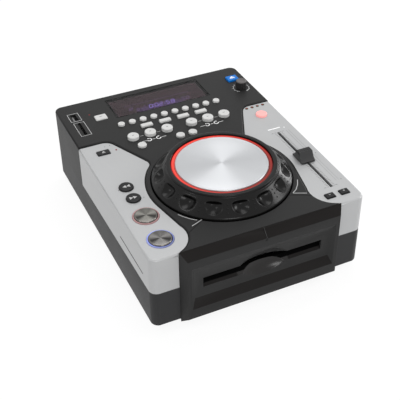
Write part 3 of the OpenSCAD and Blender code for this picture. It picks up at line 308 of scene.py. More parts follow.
def repeat_tree(name, round_axis):
    """Tree that repeats its geometry round an upright axis or along a step, then joins and paints it."""
    tree = bpy.data.node_groups.get(name)
    if tree:
        return tree
    tree = bpy.data.node_groups.new(name, "GeometryNodeTree")
    for label, kind in (("Geometry", "Geometry"), ("Count", "Int"), ("Centre or step", "Vector"),
                        ("Finish", "Material")):
        tree.interface.new_socket(name=label, in_out="INPUT", socket_type="NodeSocket" + kind)
    tree.interface.new_socket(name="Geometry", in_out="OUTPUT", socket_type="NodeSocketGeometry")
    given = tree.nodes.new("NodeGroupInput").outputs
    shape, vector = given["Geometry"], given["Centre or step"]
    index = Value(tree, tree.nodes.new("GeometryNodeInputIndex"))
    if round_axis:
        home = add_node(tree, "GeometryNodeTransform", {"Geometry": shape, "Translation": scaled(tree, vector, -1)})
        euler = add_node(tree, "ShaderNodeCombineXYZ",
                         {"Z": index * math_node(tree, "DIVIDE", math.tau, given["Count"])})
        turn = add_node(tree, "FunctionNodeEulerToRotation", {0: euler})
        place, copied = vector, {"Instance": home, "Rotation": turn}
    else:
        place, copied = scaled(tree, vector, index), {"Instance": shape}
    points = add_node(tree, "GeometryNodePoints", {"Count": given["Count"], "Position": place})
    copies = add_node(tree, "GeometryNodeInstanceOnPoints", {"Points": points, **copied})
    real = add_node(tree, "GeometryNodeRealizeInstances", {0: copies})
    weld = add_node(tree, "GeometryNodeMergeByDistance", {"Geometry": real, "Distance": WELD * MM})
    paint = add_node(tree, "GeometryNodeSetMaterial", {"Geometry": weld, "Material": given["Finish"]})
    add_node(tree, "NodeGroupOutput", {0: paint})
    return tree


def add_repeats(bm, name, finish, body, count, vector, round_axis, replaces=(), sharp=30):
    """Piece made of the shape repeated count times, with its faces turned outwards."""
    maker = new_object(name + ".maker", to_mesh(bm, name + ".one"))
    tree = repeat_tree("Repeat round an axis" if round_axis else "Repeat along a step", round_axis)
    modifier = maker.modifiers.new("Repeat", "NODES")
    modifier.node_group = tree
    sockets = {item.name: item.identifier for item in tree.interface.items_tree if item.in_out == "INPUT"}
    modifier[sockets["Count"]] = count
    modifier[sockets["Centre or step"]] = [v * MM for v in vector]
    modifier[sockets["Finish"]] = material(finish)
    maker.update_tag()
    graph = bpy.context.evaluated_depsgraph_get()
    mesh = bpy.data.meshes.new_from_object(maker.evaluated_get(graph), depsgraph=graph)
    bpy.data.objects.remove(maker)
    whole = bmesh.new()
    whole.from_mesh(mesh)
    bmesh.ops.remove_doubles(whole, verts=whole.verts, dist=WELD * MM)
    bmesh.ops.recalc_face_normals(whole, faces=whole.faces)
    whole.to_mesh(mesh)
    whole.free()
    mesh.materials.clear()
    smooth_by_angle(mesh, sharp)
    add_piece(name, mesh, finish, body, replaces)


# ---------- finishes ----------


def add_group(tree, name, values):
    """Adds the shared node group of that name, which is built on its first use, and gives its outputs."""
    group = bpy.data.node_groups.get(name)
    if not group:
        inputs, build = EFFECTS[name]
        group = bpy.data.node_groups.new(name, "ShaderNodeTree")
        for label, value in inputs.items():
            kind = "Float" if isinstance(value, float) else "Color" if len(value) == 4 else "Vector"
            socket = group.interface.new_socket(name=label, in_out="INPUT", socket_type="NodeSocket" + kind)
            socket.default_value = value
        results = build(group, group.nodes.new("NodeGroupInput").outputs)
        for label in results:
            kind = "Color" if label == "Colour" else "Float"
            group.interface.new_socket(name=label, in_out="OUTPUT", socket_type="NodeSocket" + kind)
        add_node(group, "NodeGroupOutput", results)
    placed = tree.nodes.new("ShaderNodeGroup")
    placed.node_tree = group
    return fill(tree, placed, values).outputs


def grain(tree, given):
    """Fine grain of a moulded or sprayed surface: one height from two sizes of noise."""
    size = {"Vector": object_place(tree), "Scale": given["Scale"]}
    fine = add_node(tree, "ShaderNodeTexNoise", {**size, "Detail": 3})
    pits = add_node(tree, "ShaderNodeTexVoronoi", size)
    return {"Height": add_node(tree, "ShaderNodeMix", {0: given["Roundness"], 2: fine, 3: pits})}


def drifting_tone(tree, given):
    """Colour that drifts slowly and is a little lighter along worn edges."""
    cloud = Value(tree, add_node(tree, "ShaderNodeTexNoise",
                                 {"Vector": object_place(tree), "Scale": given["Size"], "Detail": 4}))
    bend = Value(tree, tree.nodes.new("ShaderNodeNewGeometry").outputs["Pointiness"])
    worn = ((bend - 0.52) * 8.0).math("MINIMUM", 1.0).math("MAXIMUM", 0.0)
    gain = 1.0 + (cloud - 0.5) * given["Drift"] * 2.0 + worn * given["Edge"]
    return {"Colour": scaled(tree, given["Colour"], gain), "Mask": cloud}


def spun_rings(tree, given):
    """Rings of a part spun on a lathe, about an upright axis in object coordinates, and lighter and darker wedges
    round it that are a painted sheen.
    """
    away = add_node(tree, "ShaderNodeVectorMath", {0: object_place(tree), 1: given["Axis"]}, operation="SUBTRACT")
    x, y = x_and_y(tree, away)
    radius = (x * x + y * y).math("SQRT")
    rings = add_node(tree, "ShaderNodeTexNoise", {"W": radius, "Scale": given["Rings per metre"], "Detail": 2},
                     noise_dimensions="1D")
    angle = y.math("ARCTAN2", x)
    # Wedges of painted sheen round the axis.
    sheen_lobes = (angle * 3.0 + 0.8).math("SINE") + (angle * 5.0).math("COSINE") * 0.6
    return {"Height": rings, "Radius": radius, "Mask": (angle + 2.4).math("SINE") * 0.5 + 0.5,
            "Sectors": sheen_lobes * 0.32 + 0.5}


# Shared effects: each one's inputs with their defaults, and what builds it.
EFFECTS = {
    "Surface grain": ({"Scale": 1500.0, "Roundness": 0.5}, grain),
    "Drifting tone": ({"Colour": (0.5, 0.5, 0.5, 1), "Drift": 0.05, "Size": 30.0, "Edge": 0.1}, drifting_tone),
    "Spun rings": ({"Axis": (0, 0, 0), "Rings per metre": 3000.0}, spun_rings),
}


# Plain finishes: colour, roughness, specular, grain scale, grain height in mm, drift, edge, and other sockets
# of the Principled shader.
FINISHES = {
    "Case plastic": ((0.028, 0.028, 0.029), 0.52, 0.20, 2600, 0.035, 0.08, 0.10),
    "Panel plastic": ((0.022, 0.022, 0.022), 0.48, 0.15, 3000, 0.020, 0.06, 0.10),
    "Block plastic": ((0.030, 0.030, 0.030), 0.40, 0.12, 3000, 0.012, 0.06, 0.20),
    # Darker copy of the block plastic for its upward front slopes: painted shade.
    "Block trim": ((0.012, 0.0105, 0.010), 0.32, 0.10, 3000, 0.010, 0.06, 0.20),
    # The scoop's darker colour is painted shade in the hollow; its gloss is the plastic's own.
    "Scoop plastic": ((0.014, 0.0125, 0.012), 0.24, 0.30, 3000, 0.006, 0.06, 0.20),
    # Black finish for the inside of the disc slot: painted shade.
    "Slot felt": ((0.003, 0.003, 0.003), 0.95, 0.02, 900, 0.100, 0.20, 0.0),
    "Silver paint": ((0.495, 0.50, 0.505), 0.42, 0.4, 4200, 0.010, 0.03, 0.03, {"Coat Weight": 0.1, "Metallic": 0.30}),
    "Wheel plastic": ((0.0020, 0.0019, 0.0018), 0.24, 0.22, 2400, 0.006, 0.05, 0.15),
    "Light key plastic": ((0.76, 0.76, 0.75), 0.42, 0.35, 2600, 0.010, 0.03, 0.04),
    "Dark key plastic": ((0.013, 0.013, 0.014), 0.30, 0.20, 2600, 0.010, 0.05, 0.30),
    "Blue key plastic": ((0.001, 0.20, 0.72), 0.34, 0.20, 2600, 0.010, 0.04, 0.05),
    "Lit key plastic": ((0.95, 0.42, 0.40), 0.40, 0.35, 2600, 0.010, 0.03, 0.02,
                        {"Emission Color": (1.0, 0.34, 0.32, 1), "Emission Strength": 0.40}),
    "Knob plastic": ((0.030, 0.029, 0.029), 0.45, 0.2, 2400, 0.010, 0.05, 0.3),
    # Lighter copy of the knob plastic for its top face: painted light from above.
    "Knob top": ((0.135, 0.125, 0.125), 0.45, 0.3, 2400, 0.014, 0.05, 0.2),
    "Cap plastic": ((0.020, 0.020, 0.021), 0.28, 0.5, 2400, 0.008, 0.05, 0.25),
    "White print": ((0.62, 0.62, 0.62), 0.55, 0.3, 3000, 0.006, 0.08, 0.0),
    # Its emission is a painted glow that lifts the print above how the lamps light it.
    "Bright print": ((0.90, 0.90, 0.90), 0.5, 0.3, 3000, 0.006, 0.02, 0.0,
                     {"Emission Color": (1, 1, 1, 1), "Emission Strength": 0.25}),
    # Also the line on the block's slope, where it is a painted glint.
    "Grey print": ((0.075, 0.075, 0.075), 0.55, 0.3, 3000, 0.006, 0.08, 0.0),
    "Faint print": ((0.34, 0.34, 0.345), 0.50, 0.3, 3000, 0.006, 0.08, 0.0),
    # Also drawn along the wings' border with the panel, where it is the joint and a painted shadow of the panel's
    # step.
    "Black print": ((0.006, 0.006, 0.006), 0.50, 0.1, 3000, 0.006, 0.08, 0.0),
    "Red lamp": ((0.30, 0.014, 0.022), 0.25, 0.3, 1600, 0.006, 0.05, 0.0),
    "Digit light": ((0.10, 0.08, 0.30), 0.4, 0.2, 1600, 0.004, 0.05, 0.0,
                    {"Emission Color": (0.30, 0.24, 0.80, 1), "Emission Strength": 0.85}),
    "Faint digit light": ((0.05, 0.03, 0.10), 0.4, 0.2, 1600, 0.004, 0.05, 0.0,
                          {"Emission Color": (0.24, 0.14, 0.42, 1), "Emission Strength": 0.5}),
    "Display face": ((0.040, 0.022, 0.028), 0.5, 0.05, 1200, 0.001, 0.10, 0.0),
    "Dull metal": ((0.20, 0.20, 0.20), 0.35, 0.5, 1500, 0.008, 0.05, 0.05, {"Metallic": 0.7}),
    "Plated metal": ((0.72, 0.55, 0.28), 0.22, 0.5, 1500, 0.004, 0.05, 0.05, {"Metallic": 1.0}),
    "Socket black": ((0.012, 0.012, 0.013), 0.45, 0.25, 2200, 0.015, 0.05, 0.1),
    "White insulator": ((0.72, 0.72, 0.70), 0.4, 0.4, 1800, 0.006, 0.04, 0.0),
    "Red insulator": ((0.50, 0.02, 0.02), 0.4, 0.4, 1800, 0.006, 0.04, 0.0),
    "Orange insulator": ((0.75, 0.20, 0.02), 0.4, 0.4, 1800, 0.006, 0.04, 0.0),
    "Foot rubber": ((0.012, 0.012, 0.012), 0.85, 0.2, 1400, 0.060, 0.15, 0.0),
    "Polished rim": ((0.17, 0.16, 0.15), 0.10, 0.5, 2400, 0.003, 0.05, 0.0, {"Metallic": 1.0}),
    "Screw steel": ((0.35, 0.35, 0.36), 0.32, 0.5, 1500, 0.010, 0.10, 0.1, {"Metallic": 1.0}),
    "Sheet steel": ((0.50, 0.51, 0.52), 0.38, 0.5, 900, 0.010, 0.12, 0.0, {"Metallic": 1.0}),
    "Board green": ((0.012, 0.085, 0.035), 0.35, 0.4, 700, 0.010, 0.20, 0.0),
    "White gear plastic": ((0.70, 0.70, 0.67), 0.5, 0.4, 1800, 0.010, 0.05, 0.0),
}


def material(name):
    """The named finish, made on its first use."""
    mat = bpy.data.materials.get(name)
    if not mat:
        mat = bpy.data.materials.new(name)
        mat.use_nodes = True
        tree = mat.node_tree
        make, *given = SPECIAL.get(name) or (plain, *FINISHES[name])
        fill(tree, tree.nodes["Principled BSDF"], make(tree, *given))
    return mat


def plain(tree, colour, roughness, specular, scale, height, drift, edge, other=()):
    """Even finish with fine grain, whose tone drifts a little."""
    tone = add_group(tree, "Drifting tone", {"Colour": (*colour, 1), "Drift": drift, "Edge": edge})
    grained = add_group(tree, "Surface grain", {"Scale": scale})["Height"]
    return {"Base Color": tone["Colour"], "Specular IOR Level": specular, "Normal": bumps(tree, grained, height),
            "Roughness": math_node(tree, "MULTIPLY", tone["Mask"], 0.10) + (roughness - 0.05), **dict(other)}


def spun_metal(tree, axis, colour, roughness, rings, anisotropic, streak, sheen_share=0.0):
    """Metal turned on a lathe: fine rings, and lighter and darker wedges round the axis that are a painted sheen."""
    spun = add_group(tree, "Spun rings", {"Axis": (axis[0] * MM, axis[1] * MM, 0), "Rings per metre": rings})
    tone = blend(tree, spun["Height"], (*(c * (1 - streak) for c in colour), 1), (*colour, 1))
    sheen_lobes = 1 - sheen_share + math_node(tree, "MULTIPLY", spun["Sectors"], 2 * sheen_share)
    turn = add_node(tree, "ShaderNodeTangent", {}, direction_type="RADIAL", axis="Z")
    return {"Base Color": scaled(tree, tone, sheen_lobes), "Normal": bumps(tree, spun["Height"], 0.004), "Tangent": turn,
            "Metallic": 1.0, "Roughness": roughness, "Anisotropic": anisotropic, "Anisotropic Rotation": 0.25}


def light_ring(tree, axis, stops, strength, swing):
    """Lit ring whose colour changes from its inner to its outer edge and glows less on one side."""
    spun = add_group(tree, "Spun rings", {"Axis": (axis[0] * MM, axis[1] * MM, 0), "Rings per metre": 900.0})
    inner, outer = stops[0][0], stops[-1][0]
    ramp = add_node(tree, "ShaderNodeValToRGB",
                    {0: math_node(tree, "SUBTRACT", spun["Radius"], inner * MM) / ((outer - inner) * MM)})
    marks = ramp.color_ramp.elements
    while len(marks) < len(stops):
        marks.new(0.5)
    for mark, (radius, _) in zip(marks, stops):
        mark.position = (radius - inner) / (outer - inner)
    for mark, (_, colour) in zip(marks, stops):
        mark.color = (*colour, 1)
    dim = scaled(tree, ramp, 1.0 - math_node(tree, "MULTIPLY", spun["Mask"], swing))
    return {"Base Color": dim, "Emission Color": dim, "Emission Strength": strength, "Roughness": 0.35,
            "Specular IOR Level": 0.2}


def digit_haze(tree):
    """Soft violet glow round the digits that fades out to the display's face."""
    far = [((part - centre * MM) / (half * MM)).math("ABSOLUTE") ** power
           for part, centre, half, power in zip(x_and_y(tree), HAZE[:2], HAZE[2:], (4.0, 2.0))]
    fade = (1.0 - (far[0] + far[1])).math("MAXIMUM", 0.0)
    cloud = add_node(tree, "ShaderNodeTexNoise", {"Vector": object_place(tree), "Scale": 500})
    fade = fade * math_node(tree, "ADD", cloud, 0.5)
    return {"Emission Color": blend(tree, fade, (0, 0, 0, 1), (0.045, 0.030, 0.13, 1)), "Emission Strength": 1.0,
            "Base Color": (0.040, 0.022, 0.028, 1), "Roughness": 0.5, "Specular IOR Level": 0.05}


def boards(tree):
    """Green boards, with the fader's track at the right in black."""
    x, y = x_and_y(tree)
    track = x.math("GREATER_THAN", (FADER_X - 9) * MM) * y.math("LESS_THAN", 4 * MM)
    green, black = (add_group(tree, "Drifting tone", {"Colour": colour, "Drift": 0.2, "Edge": 0.0})["Colour"]
                    for colour in ((0.012, 0.085, 0.035, 1), (0.004, 0.004, 0.004, 1)))
    return {"Base Color": blend(tree, track, green, black), "Roughness": 0.45, "Specular IOR Level": 0.2}


def tinted_glass(tree):
    """Smoked window over the display: clear enough for the digits, with a hard gloss."""
    tone = add_group(tree, "Drifting tone", {"Colour": (0.66, 0.56, 0.60, 1), "Drift": 0.05, "Edge": 0.0})
    return {"Base Color": tone["Colour"], "Roughness": 0.0, "Transmission Weight": 1.0, "IOR": 1.22}


CUE, PLAY = (-88.8, -78.3), (-89.4, -114.2)
# Middle and half sizes of the glow behind the digits.
HAZE = (0.0, 97.0, 30.0, 7.0)

# Finishes that aren't plain: what makes each, and what it is given after the tree.
SPECIAL = {
    "Spun aluminium": (spun_metal, JOG, (0.55, 0.56, 0.575), 0.42, 2600, 0.8, 0.05),
    # The last number of the cue and play metals is how strongly their painted sheen lightens and darkens wedges round
    # the axis.
    "Cue metal": (spun_metal, CUE, (0.185, 0.18, 0.165), 0.22, 5200, 0.85, 0.20, 0.75),
    "Play metal": (spun_metal, PLAY, (0.165, 0.16, 0.155), 0.22, 5200, 0.85, 0.20, 0.75),
    "Red light ring": (
        light_ring, JOG,
        ((45.2, (0.75, 0.16, 0.13)), (45.9, (0.40, 0.012, 0.012)), (46.9, (0.88, 0.075, 0.05)),
         (48.1, (0.85, 0.04, 0.028)), (48.8, (0.22, 0.004, 0.003)), (49.3, (0.04, 0.002, 0.002))), 0.50, 0.75),
    # The darkest inner stops of the cue and play rings are painted shadow under the cap's edge.
    "Cue light ring": (
        light_ring, CUE,
        ((11.0, (0.03, 0.006, 0.005)), (11.25, (0.10, 0.02, 0.015)), (11.5, (0.48, 0.30, 0.30)),
         (12.0, (0.56, 0.36, 0.36)), (12.3, (0.42, 0.16, 0.16)), (12.5, (0.45, 0.28, 0.28))), 0.15, 0.2),
    "Play light ring": (
        light_ring, PLAY,
        ((11.0, (0.01, 0.015, 0.10)), (11.25, (0.04, 0.06, 0.40)), (11.5, (0.32, 0.40, 0.95)),
         (12.0, (0.46, 0.54, 1.0)), (12.3, (0.26, 0.30, 0.72)), (12.5, (0.38, 0.42, 0.75))), 0.30, 0.6),
    "Smoked window": (tinted_glass,),
    "Digit haze": (digit_haze,),
    "Boards and track": (boards,),
}


# ---------- pieces ----------


def add_piece(name, mesh, finishes, body, replaces=()):
    """Piece with one finish or, for faces of other material indices, several."""
    obj = new_object(name, mesh)
    for finish in (finishes,) if isinstance(finishes, str) else finishes:
        mesh.materials.append(material(finish))
    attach(obj, body)
    if replaces:
        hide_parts(*replaces)
    return obj


def add_solid(bm, name, finish, body, replaces=()):
    """Piece made from a closed bmesh in millimetres."""
    outward(bm)
    return add_piece(name, to_mesh(bm, name), finish, body, replaces)


def dress(node, finish):
    """Gives a CAD node that stays its finish."""
    obj = NODES[node]
    obj.data.materials.clear()
    obj.data.materials.append(material(finish))


def band(width, axis, above=-math.inf, below=math.inf):
    """Gives the edges whose middle lies in a band across an axis that width."""
    return lambda p, edge: width if above < p[axis] < below else 0


def soft_copy(node, finish, body, width_at, segments=3):
    obj = add_piece(node + "_shell", to_mesh(cad_shape(node), node + "_shell"), finish, body, (node,))
    round_edges(obj, width_at, segments)
    return obj


class PlayerLooks(bpy.types.PropertyGroup):
    panel_round: bpy.props.FloatProperty(name="Panel rounding", description="Rounding of the dark panel's border",
                                         default=1.9 * MM, unit="LENGTH")
    wing_round: bpy.props.FloatProperty(name="Wing rounding", description="Rounding of the wings' outer top edge",
                                        default=2.3 * MM, unit="LENGTH")
    edge_round: bpy.props.FloatProperty(name="Small edges", description="Rounding of holes and small edges",
                                        default=0.22 * MM, unit="LENGTH")
    print_height: bpy.props.FloatProperty(name="Print height", description="How far the prints stand above a surface",
                                          default=0.04 * MM, unit="LENGTH")
    lens: bpy.props.FloatProperty(name="Lens", description="Focal length of the camera in millimetres",
                                  default=76.77)


class WheelLooks(bpy.types.PropertyGroup):
    dimples: bpy.props.IntProperty(name="Dimples", description="Number of finger dimples", default=15)
    phase: bpy.props.FloatProperty(name="Phase", description="Angle of the first dimple", default=math.radians(-3),
                                   subtype="ANGLE")
    dimple_width: bpy.props.FloatProperty(name="Dimple width", description="Width of a dimple",
                                          default=17.6 * MM, unit="LENGTH")
    dimple_depth: bpy.props.FloatProperty(name="Dimple depth", description="Depth of a dimple in the slope",
                                          default=4.6 * MM, unit="LENGTH")


class StudioLooks(bpy.types.PropertyGroup):
    world: bpy.props.FloatProperty(name="Room light", description="Brightness of the plain room", default=0.50)
    main: bpy.props.FloatProperty(name="Main light", description="Power of the large lamp above in watts", default=4.9)
    left: bpy.props.FloatProperty(name="Left light", description="Power of the lamp at the left in watts", default=1.5)
    right: bpy.props.FloatProperty(name="Right light", description="Power of the lamp at the right in watts",
                                   default=5.2)
    front: bpy.props.FloatProperty(name="Front light", description="Power of the lamp in front in watts", default=4.2)
    low: bpy.props.FloatProperty(name="Low light", description="Power of the low lamp at the right in watts",
                                 default=3.0)


def on_rim(p):
    """Whether a point lies on the case's outer edge: its sides, its front or the corners between them."""
    return abs(p.x) > SIDE_X - 0.1 or p.y < FRONT_Y + 0.1 or abs(p.x) > 102 and p.y < -132


class PLAYER_OT_case(bpy.types.Operator):
    """Lower case, dark panel and silver wings with rounded edges, feet and screws"""
    bl_idname = "player.case"
    bl_label = "Case"

    def execute(self, context):
        looks = context.scene.player_looks
        panel, wing, small = looks.panel_round / MM, looks.wing_round / MM, looks.edge_round / MM

        def panel_width(p, edge):
            if min(v.co.z for v in edge.verts) < (Z_PANEL - 0.05) * MM:
                return 0
            if near(math.hypot(p.x - JOG[0], p.y - JOG[1]), 69.4, 0.3):
                return 0.5
            hole = abs(p.x) < 62 and 20 < p.y < 132 or 60 < abs(p.x) < 104 and 60 < p.y < 132
            return small if hole or p.y < FRONT_Y + 0.5 and abs(p.x) < 83 else panel

        def wing_width(p, edge):
            if min(v.co.z for v in edge.verts) < (Z_WING - 0.05) * MM:
                return small if abs(p.x) > 109 and near(p.y, 53.7, 0.1) else 0
            return wing if on_rim(p) or p.y < -138.5 and abs(p.x) < 84 else 0

        soft_copy("base_shell", "Case plastic", "case",
                  lambda p, edge: 0.7 if p.z < 9 and near(edge.verts[0].co.z, edge.verts[1].co.z, 1e-5)
                  and (abs(p.x) > 104 or abs(p.y) > 134) else 0)
        soft_copy("top_panel", "Panel plastic", "case", panel_width)
        for side in ("left", "right"):
            soft_copy(side + "_wing", "Silver paint", "case", wing_width, 5)
        soft_copy("feet", "Foot rubber", "case", band(0.5, Z, below=1))
        soft_copy("case_screws", "Screw steel", "case", band(0.15, Z, below=4), 2)
        return {"FINISHED"}


# Material indices of the front block after the plastic's own: painted shade on the upward front slopes, black painted
# shade inside the slot, and the scoop's plastic darkened with painted shade.
SLOPE_SHADE, SLOT_SHADE, SCOOP = 1, 2, 3


def in_recess(p, from_x=-1.0):
    """Whether a point lies in the block's recess, at least that far from its middle."""
    return p.y > FACE_Y + 0.01 and from_x < abs(p.x) < 62 and 42 < p.z < 54


class PLAYER_OT_block(bpy.types.Operator):
    """Front block with the disc slot and thumb scoop"""
    bl_idname = "player.block"
    bl_label = "Front block"

    def execute(self, context):
        bm = cad_shape("slot_bezel")
        for cut, across in (((0, FACE_Y, 0), (0, 1, 0)), ((-SCOOP_X, 0, 0), (1, 0, 0)), ((SCOOP_X, 0, 0), (1, 0, 0))):
            near_faces = [f for f in bm.faces if (p := f.calc_center_median()).y < -136 and abs(p.x) < 66
                          and 41 < p.z < 56 and min(v.co.y for v in f.verts) > -144.1]
            bmesh.ops.bisect_plane(bm, geom=list({g for f in near_faces for g in (f, *f.edges, *f.verts)}),
                                   plane_co=cut, plane_no=across, dist=0.001)
        bm.normal_update()
        ramp = [f.normal.copy() for f in bm.faces
                if f.normal.z > 0.02 and in_recess(f.calc_center_median(), SCOOP_X + 0.1)]
        for face in bm.faces:
            p = face.calc_center_median()
            # Faces inside the slot's recess are made black: painted shade of the slot's inside.
            if in_recess(p) and (abs(p.x) > SCOOP_X - 0.1 or p.y > -137.2
                                 or any(face.normal.dot(normal) > 0.9998 for normal in ramp)):
                face.material_index = SLOT_SHADE
            # The scoop's upward faces get a darker, glossier plastic: the darker colour is painted shade.
            elif p.y > -143.9 and abs(p.x) < SCOOP_X - 0.1 and 34 < p.z < 50 and face.normal.z > 0.02:
                face.material_index = SCOOP
            # Faces sloping up and forward get a darker copy of the block's plastic: painted shade.
            elif p.y < FRONT_Y + 0.1 and face.normal.z > 0.3 and face.normal.y < -0.3:
                face.material_index = SLOPE_SHADE
        obj = add_piece("slot_bezel_shell", to_mesh(bm, "slot_bezel_shell"),
                        ("Block plastic", "Block trim", "Slot felt", "Scoop plastic"), "case",
                        ("slot_bezel",))
        round_edges(obj, band(0.4, Y, below=FACE_Y - 0.1))
        # A grey line on the block's slope paints the glint of a small groove there; the slope falls 7.5 mm in 8.
        glint = bmesh.new()
        line(glint, [(0.65, -140.4), (0.65, -147.6)], 0.35, 0, 0.04)
        for vert in glint.verts:
            vert.co.z += Z_PANEL + 0.02 + (vert.co.y - FRONT_Y) * 7.5 / 8
        add_solid(glint, "status_light", "Grey print", "case")
        return {"FINISHED"}


# Foot and head of the wheel's slope as (radius, height).
SLOPE = (Vector((67.6, 90.8)), Vector((56.0, 102.6)))
# Where up the slope a dimple is deepest, and how far it reaches down and up from there.
DEEPEST, REACH_DOWN, REACH_UP = 11.6, 9.6, 3.6


def dimple_depth(u, v, width, depth):
    """Depth of a dimple at u across and v up the slope: round at the bottom, flat at the top."""
    down, up = (v - DEEPEST) / REACH_DOWN, (v - DEEPEST) / REACH_UP
    bowl = 1 - ((2 * u / width) ** 2 + (down ** 2 if v < DEEPEST else abs(up) ** 3))
    return depth * (bowl + math.sqrt(bowl * bowl + 0.004)) / 2


def wheel_sector(wheel):
    """One dimple's share of the finger wheel, as a closed strip along the whole profile."""
    low, high = SLOPE
    length = (high - low).length
    way = (high - low) / length
    normal = Vector((way.y, -way.x))
    rows, columns, mean_radius = 46, 50, 61.8
    foot = [(4.05, 82.8), (62, 82.8), (68.2, 82.8), (68.6, 83.2), (68.6, 86.2), (68.55, 88.4), (68.3, 89.6),
            (68.0, 90.35)]
    collar = [(55.35, 102.98), (54.7, 103.3), (54.25, 103.75), (54.1, 104.4), (54.05, 105.2), (53.85, 105.75),
              (53.45, 106.1), (52.9, 106.2), (51.3, 106.2), (50.2, 106.2), (49.75, 106.05), (49.5, 105.7),
              (49.5, 102.0), (40.7, 102.0), (40.7, 103.0), (8, 103.0), (4.05, 102.9)]
    half = math.pi / wheel.dimples
    bm = bmesh.new()
    strips = []
    for i in range(columns + 1):
        a = half * (2 * i / columns - 1)
        column = list(foot)
        for k in range(rows + 1):
            v = length * k / rows
            deep = dimple_depth(a * mean_radius, v, wheel.dimple_width / MM, wheel.dimple_depth / MM)
            column.append(tuple(low + way * v - normal * (deep if deep > 0.02 else 0.0)))
        column += collar
        strips.append([bm.verts.new((*polar(JOG, r, a + wheel.phase), z)) for r, z in column])
    for near_strip, far_strip in zip(strips, strips[1:]):
        for k in range(len(near_strip)):
            m = (k + 1) % len(near_strip)
            bm.faces.new((near_strip[k], far_strip[k], far_strip[m], near_strip[m]))
    return bm


class PLAYER_OT_wheel(bpy.types.Operator):
    """Jog wheel: finger ring with dimples and raised dots, spun plate and lit ring"""
    bl_idname = "player.wheel"
    bl_label = "Jog wheel"

    def execute(self, context):
        wheel = context.scene.player_wheel
        count = wheel.dimples
        centre = (JOG[0], JOG[1], 0)
        add_repeats(wheel_sector(wheel), "finger_ring", "Wheel plastic", "jog", count, centre, True,
                    ("jog_wheel",), 55)
        # Three raised dots between each pair of dimples, on the slope.
        dots = bmesh.new()
        low, high = SLOPE
        way = (high - low).normalized()
        normal = Vector((way.y, -way.x))
        turn = wheel.phase + math.pi / count
        for share in (0.26, 0.51, 0.76):
            p = low.lerp(high, share)
            out = Vector((*polar((0, 0), normal.x, turn), normal.y))
            place = Matrix.Translation((*polar(JOG, p.x, turn), p.y)) \
                @ out.to_track_quat("Z", "Y").to_matrix().to_4x4() @ Matrix.Diagonal((0.85, 0.85, 0.5, 1))
            bmesh.ops.create_icosphere(dots, subdivisions=2, radius=1, matrix=place)
        add_repeats(dots, "wheel_dots", "Wheel plastic", "jog", count, centre, True)
        plate = bmesh.new()
        turned(plate, [(0, 103.0), (45.0, 103.0), (45.0, 104.7), (44.9, 105.0), (44.65, 105.25), (44.3, 105.4),
                       (43.2, 105.4), (42.9, 105.34), (42.6, 105.4), (30, 105.4), (15, 105.4), (0, 105.4)],
               JOG, segments=180)
        add_solid(plate, "wheel_plate", "Spun aluminium", "jog", ("jog_plate",))
        ring = bmesh.new()
        turned(ring, [(45.2, 102.0), (49.3, 102.0), (49.3, 104.0), (49.1, 104.35), (48.6, 104.55), (47.1, 104.6),
                      (45.8, 104.5), (45.35, 104.3), (45.2, 104.0)], JOG, segments=180)
        add_solid(ring, "light_ring", "Red light ring", "jog", ("jog_ring",))
        return {"FINISHED"}


def round_cap(node, finish, radius, deck, rise, dish, edge=0.8):
    """Round key: cap with a soft edge and a shallow dish, flange and stem."""
    low, top = deck - SHELL[deck] - 0.3, deck + rise
    bm = bmesh.new()
    turned(bm, [(0, STEM_FOOT), (1.4, STEM_FOOT), (1.4, low - KEY_FLANGE), (radius + 1.2, low - KEY_FLANGE),
                (radius + 1.2, low), (radius, low), (radius, top - edge), (radius - edge * 0.13, top - edge * 0.5),
                (radius - edge * 0.5, top - edge * 0.13), (radius - edge, top), (radius * 0.75, top - dish * 0.35),
                (radius * 0.45, top - dish * 0.8), (0, top - dish)],
           middle(node), segments=48)
    add_solid(bm, node + "_cap", finish, node, (node,))


# How far the keys stand above the surface round them.
RISE = {"small": 2.0, "large": 3.4, "medium": 2.0, "lit": 2.0, "search": 1.6, "bend": 1.4, "open": 2.0, "wing": 1.2,
        "source": 1.0}
# Round keys of the panel: name, count, radius and dish.
ROUND_KEYS = (("small", 10, 3.7, 0.1), ("large", 6, 6.0, 0.25), ("medium", 3, 4.6, 0.15))


def numbered(name, count):
    return [name + str(i) for i in range(1, count + 1)]


def middle(node):
    low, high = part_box(node)
    return ((low[0] + high[0]) / 2 / MM, (low[1] + high[1]) / 2 / MM)


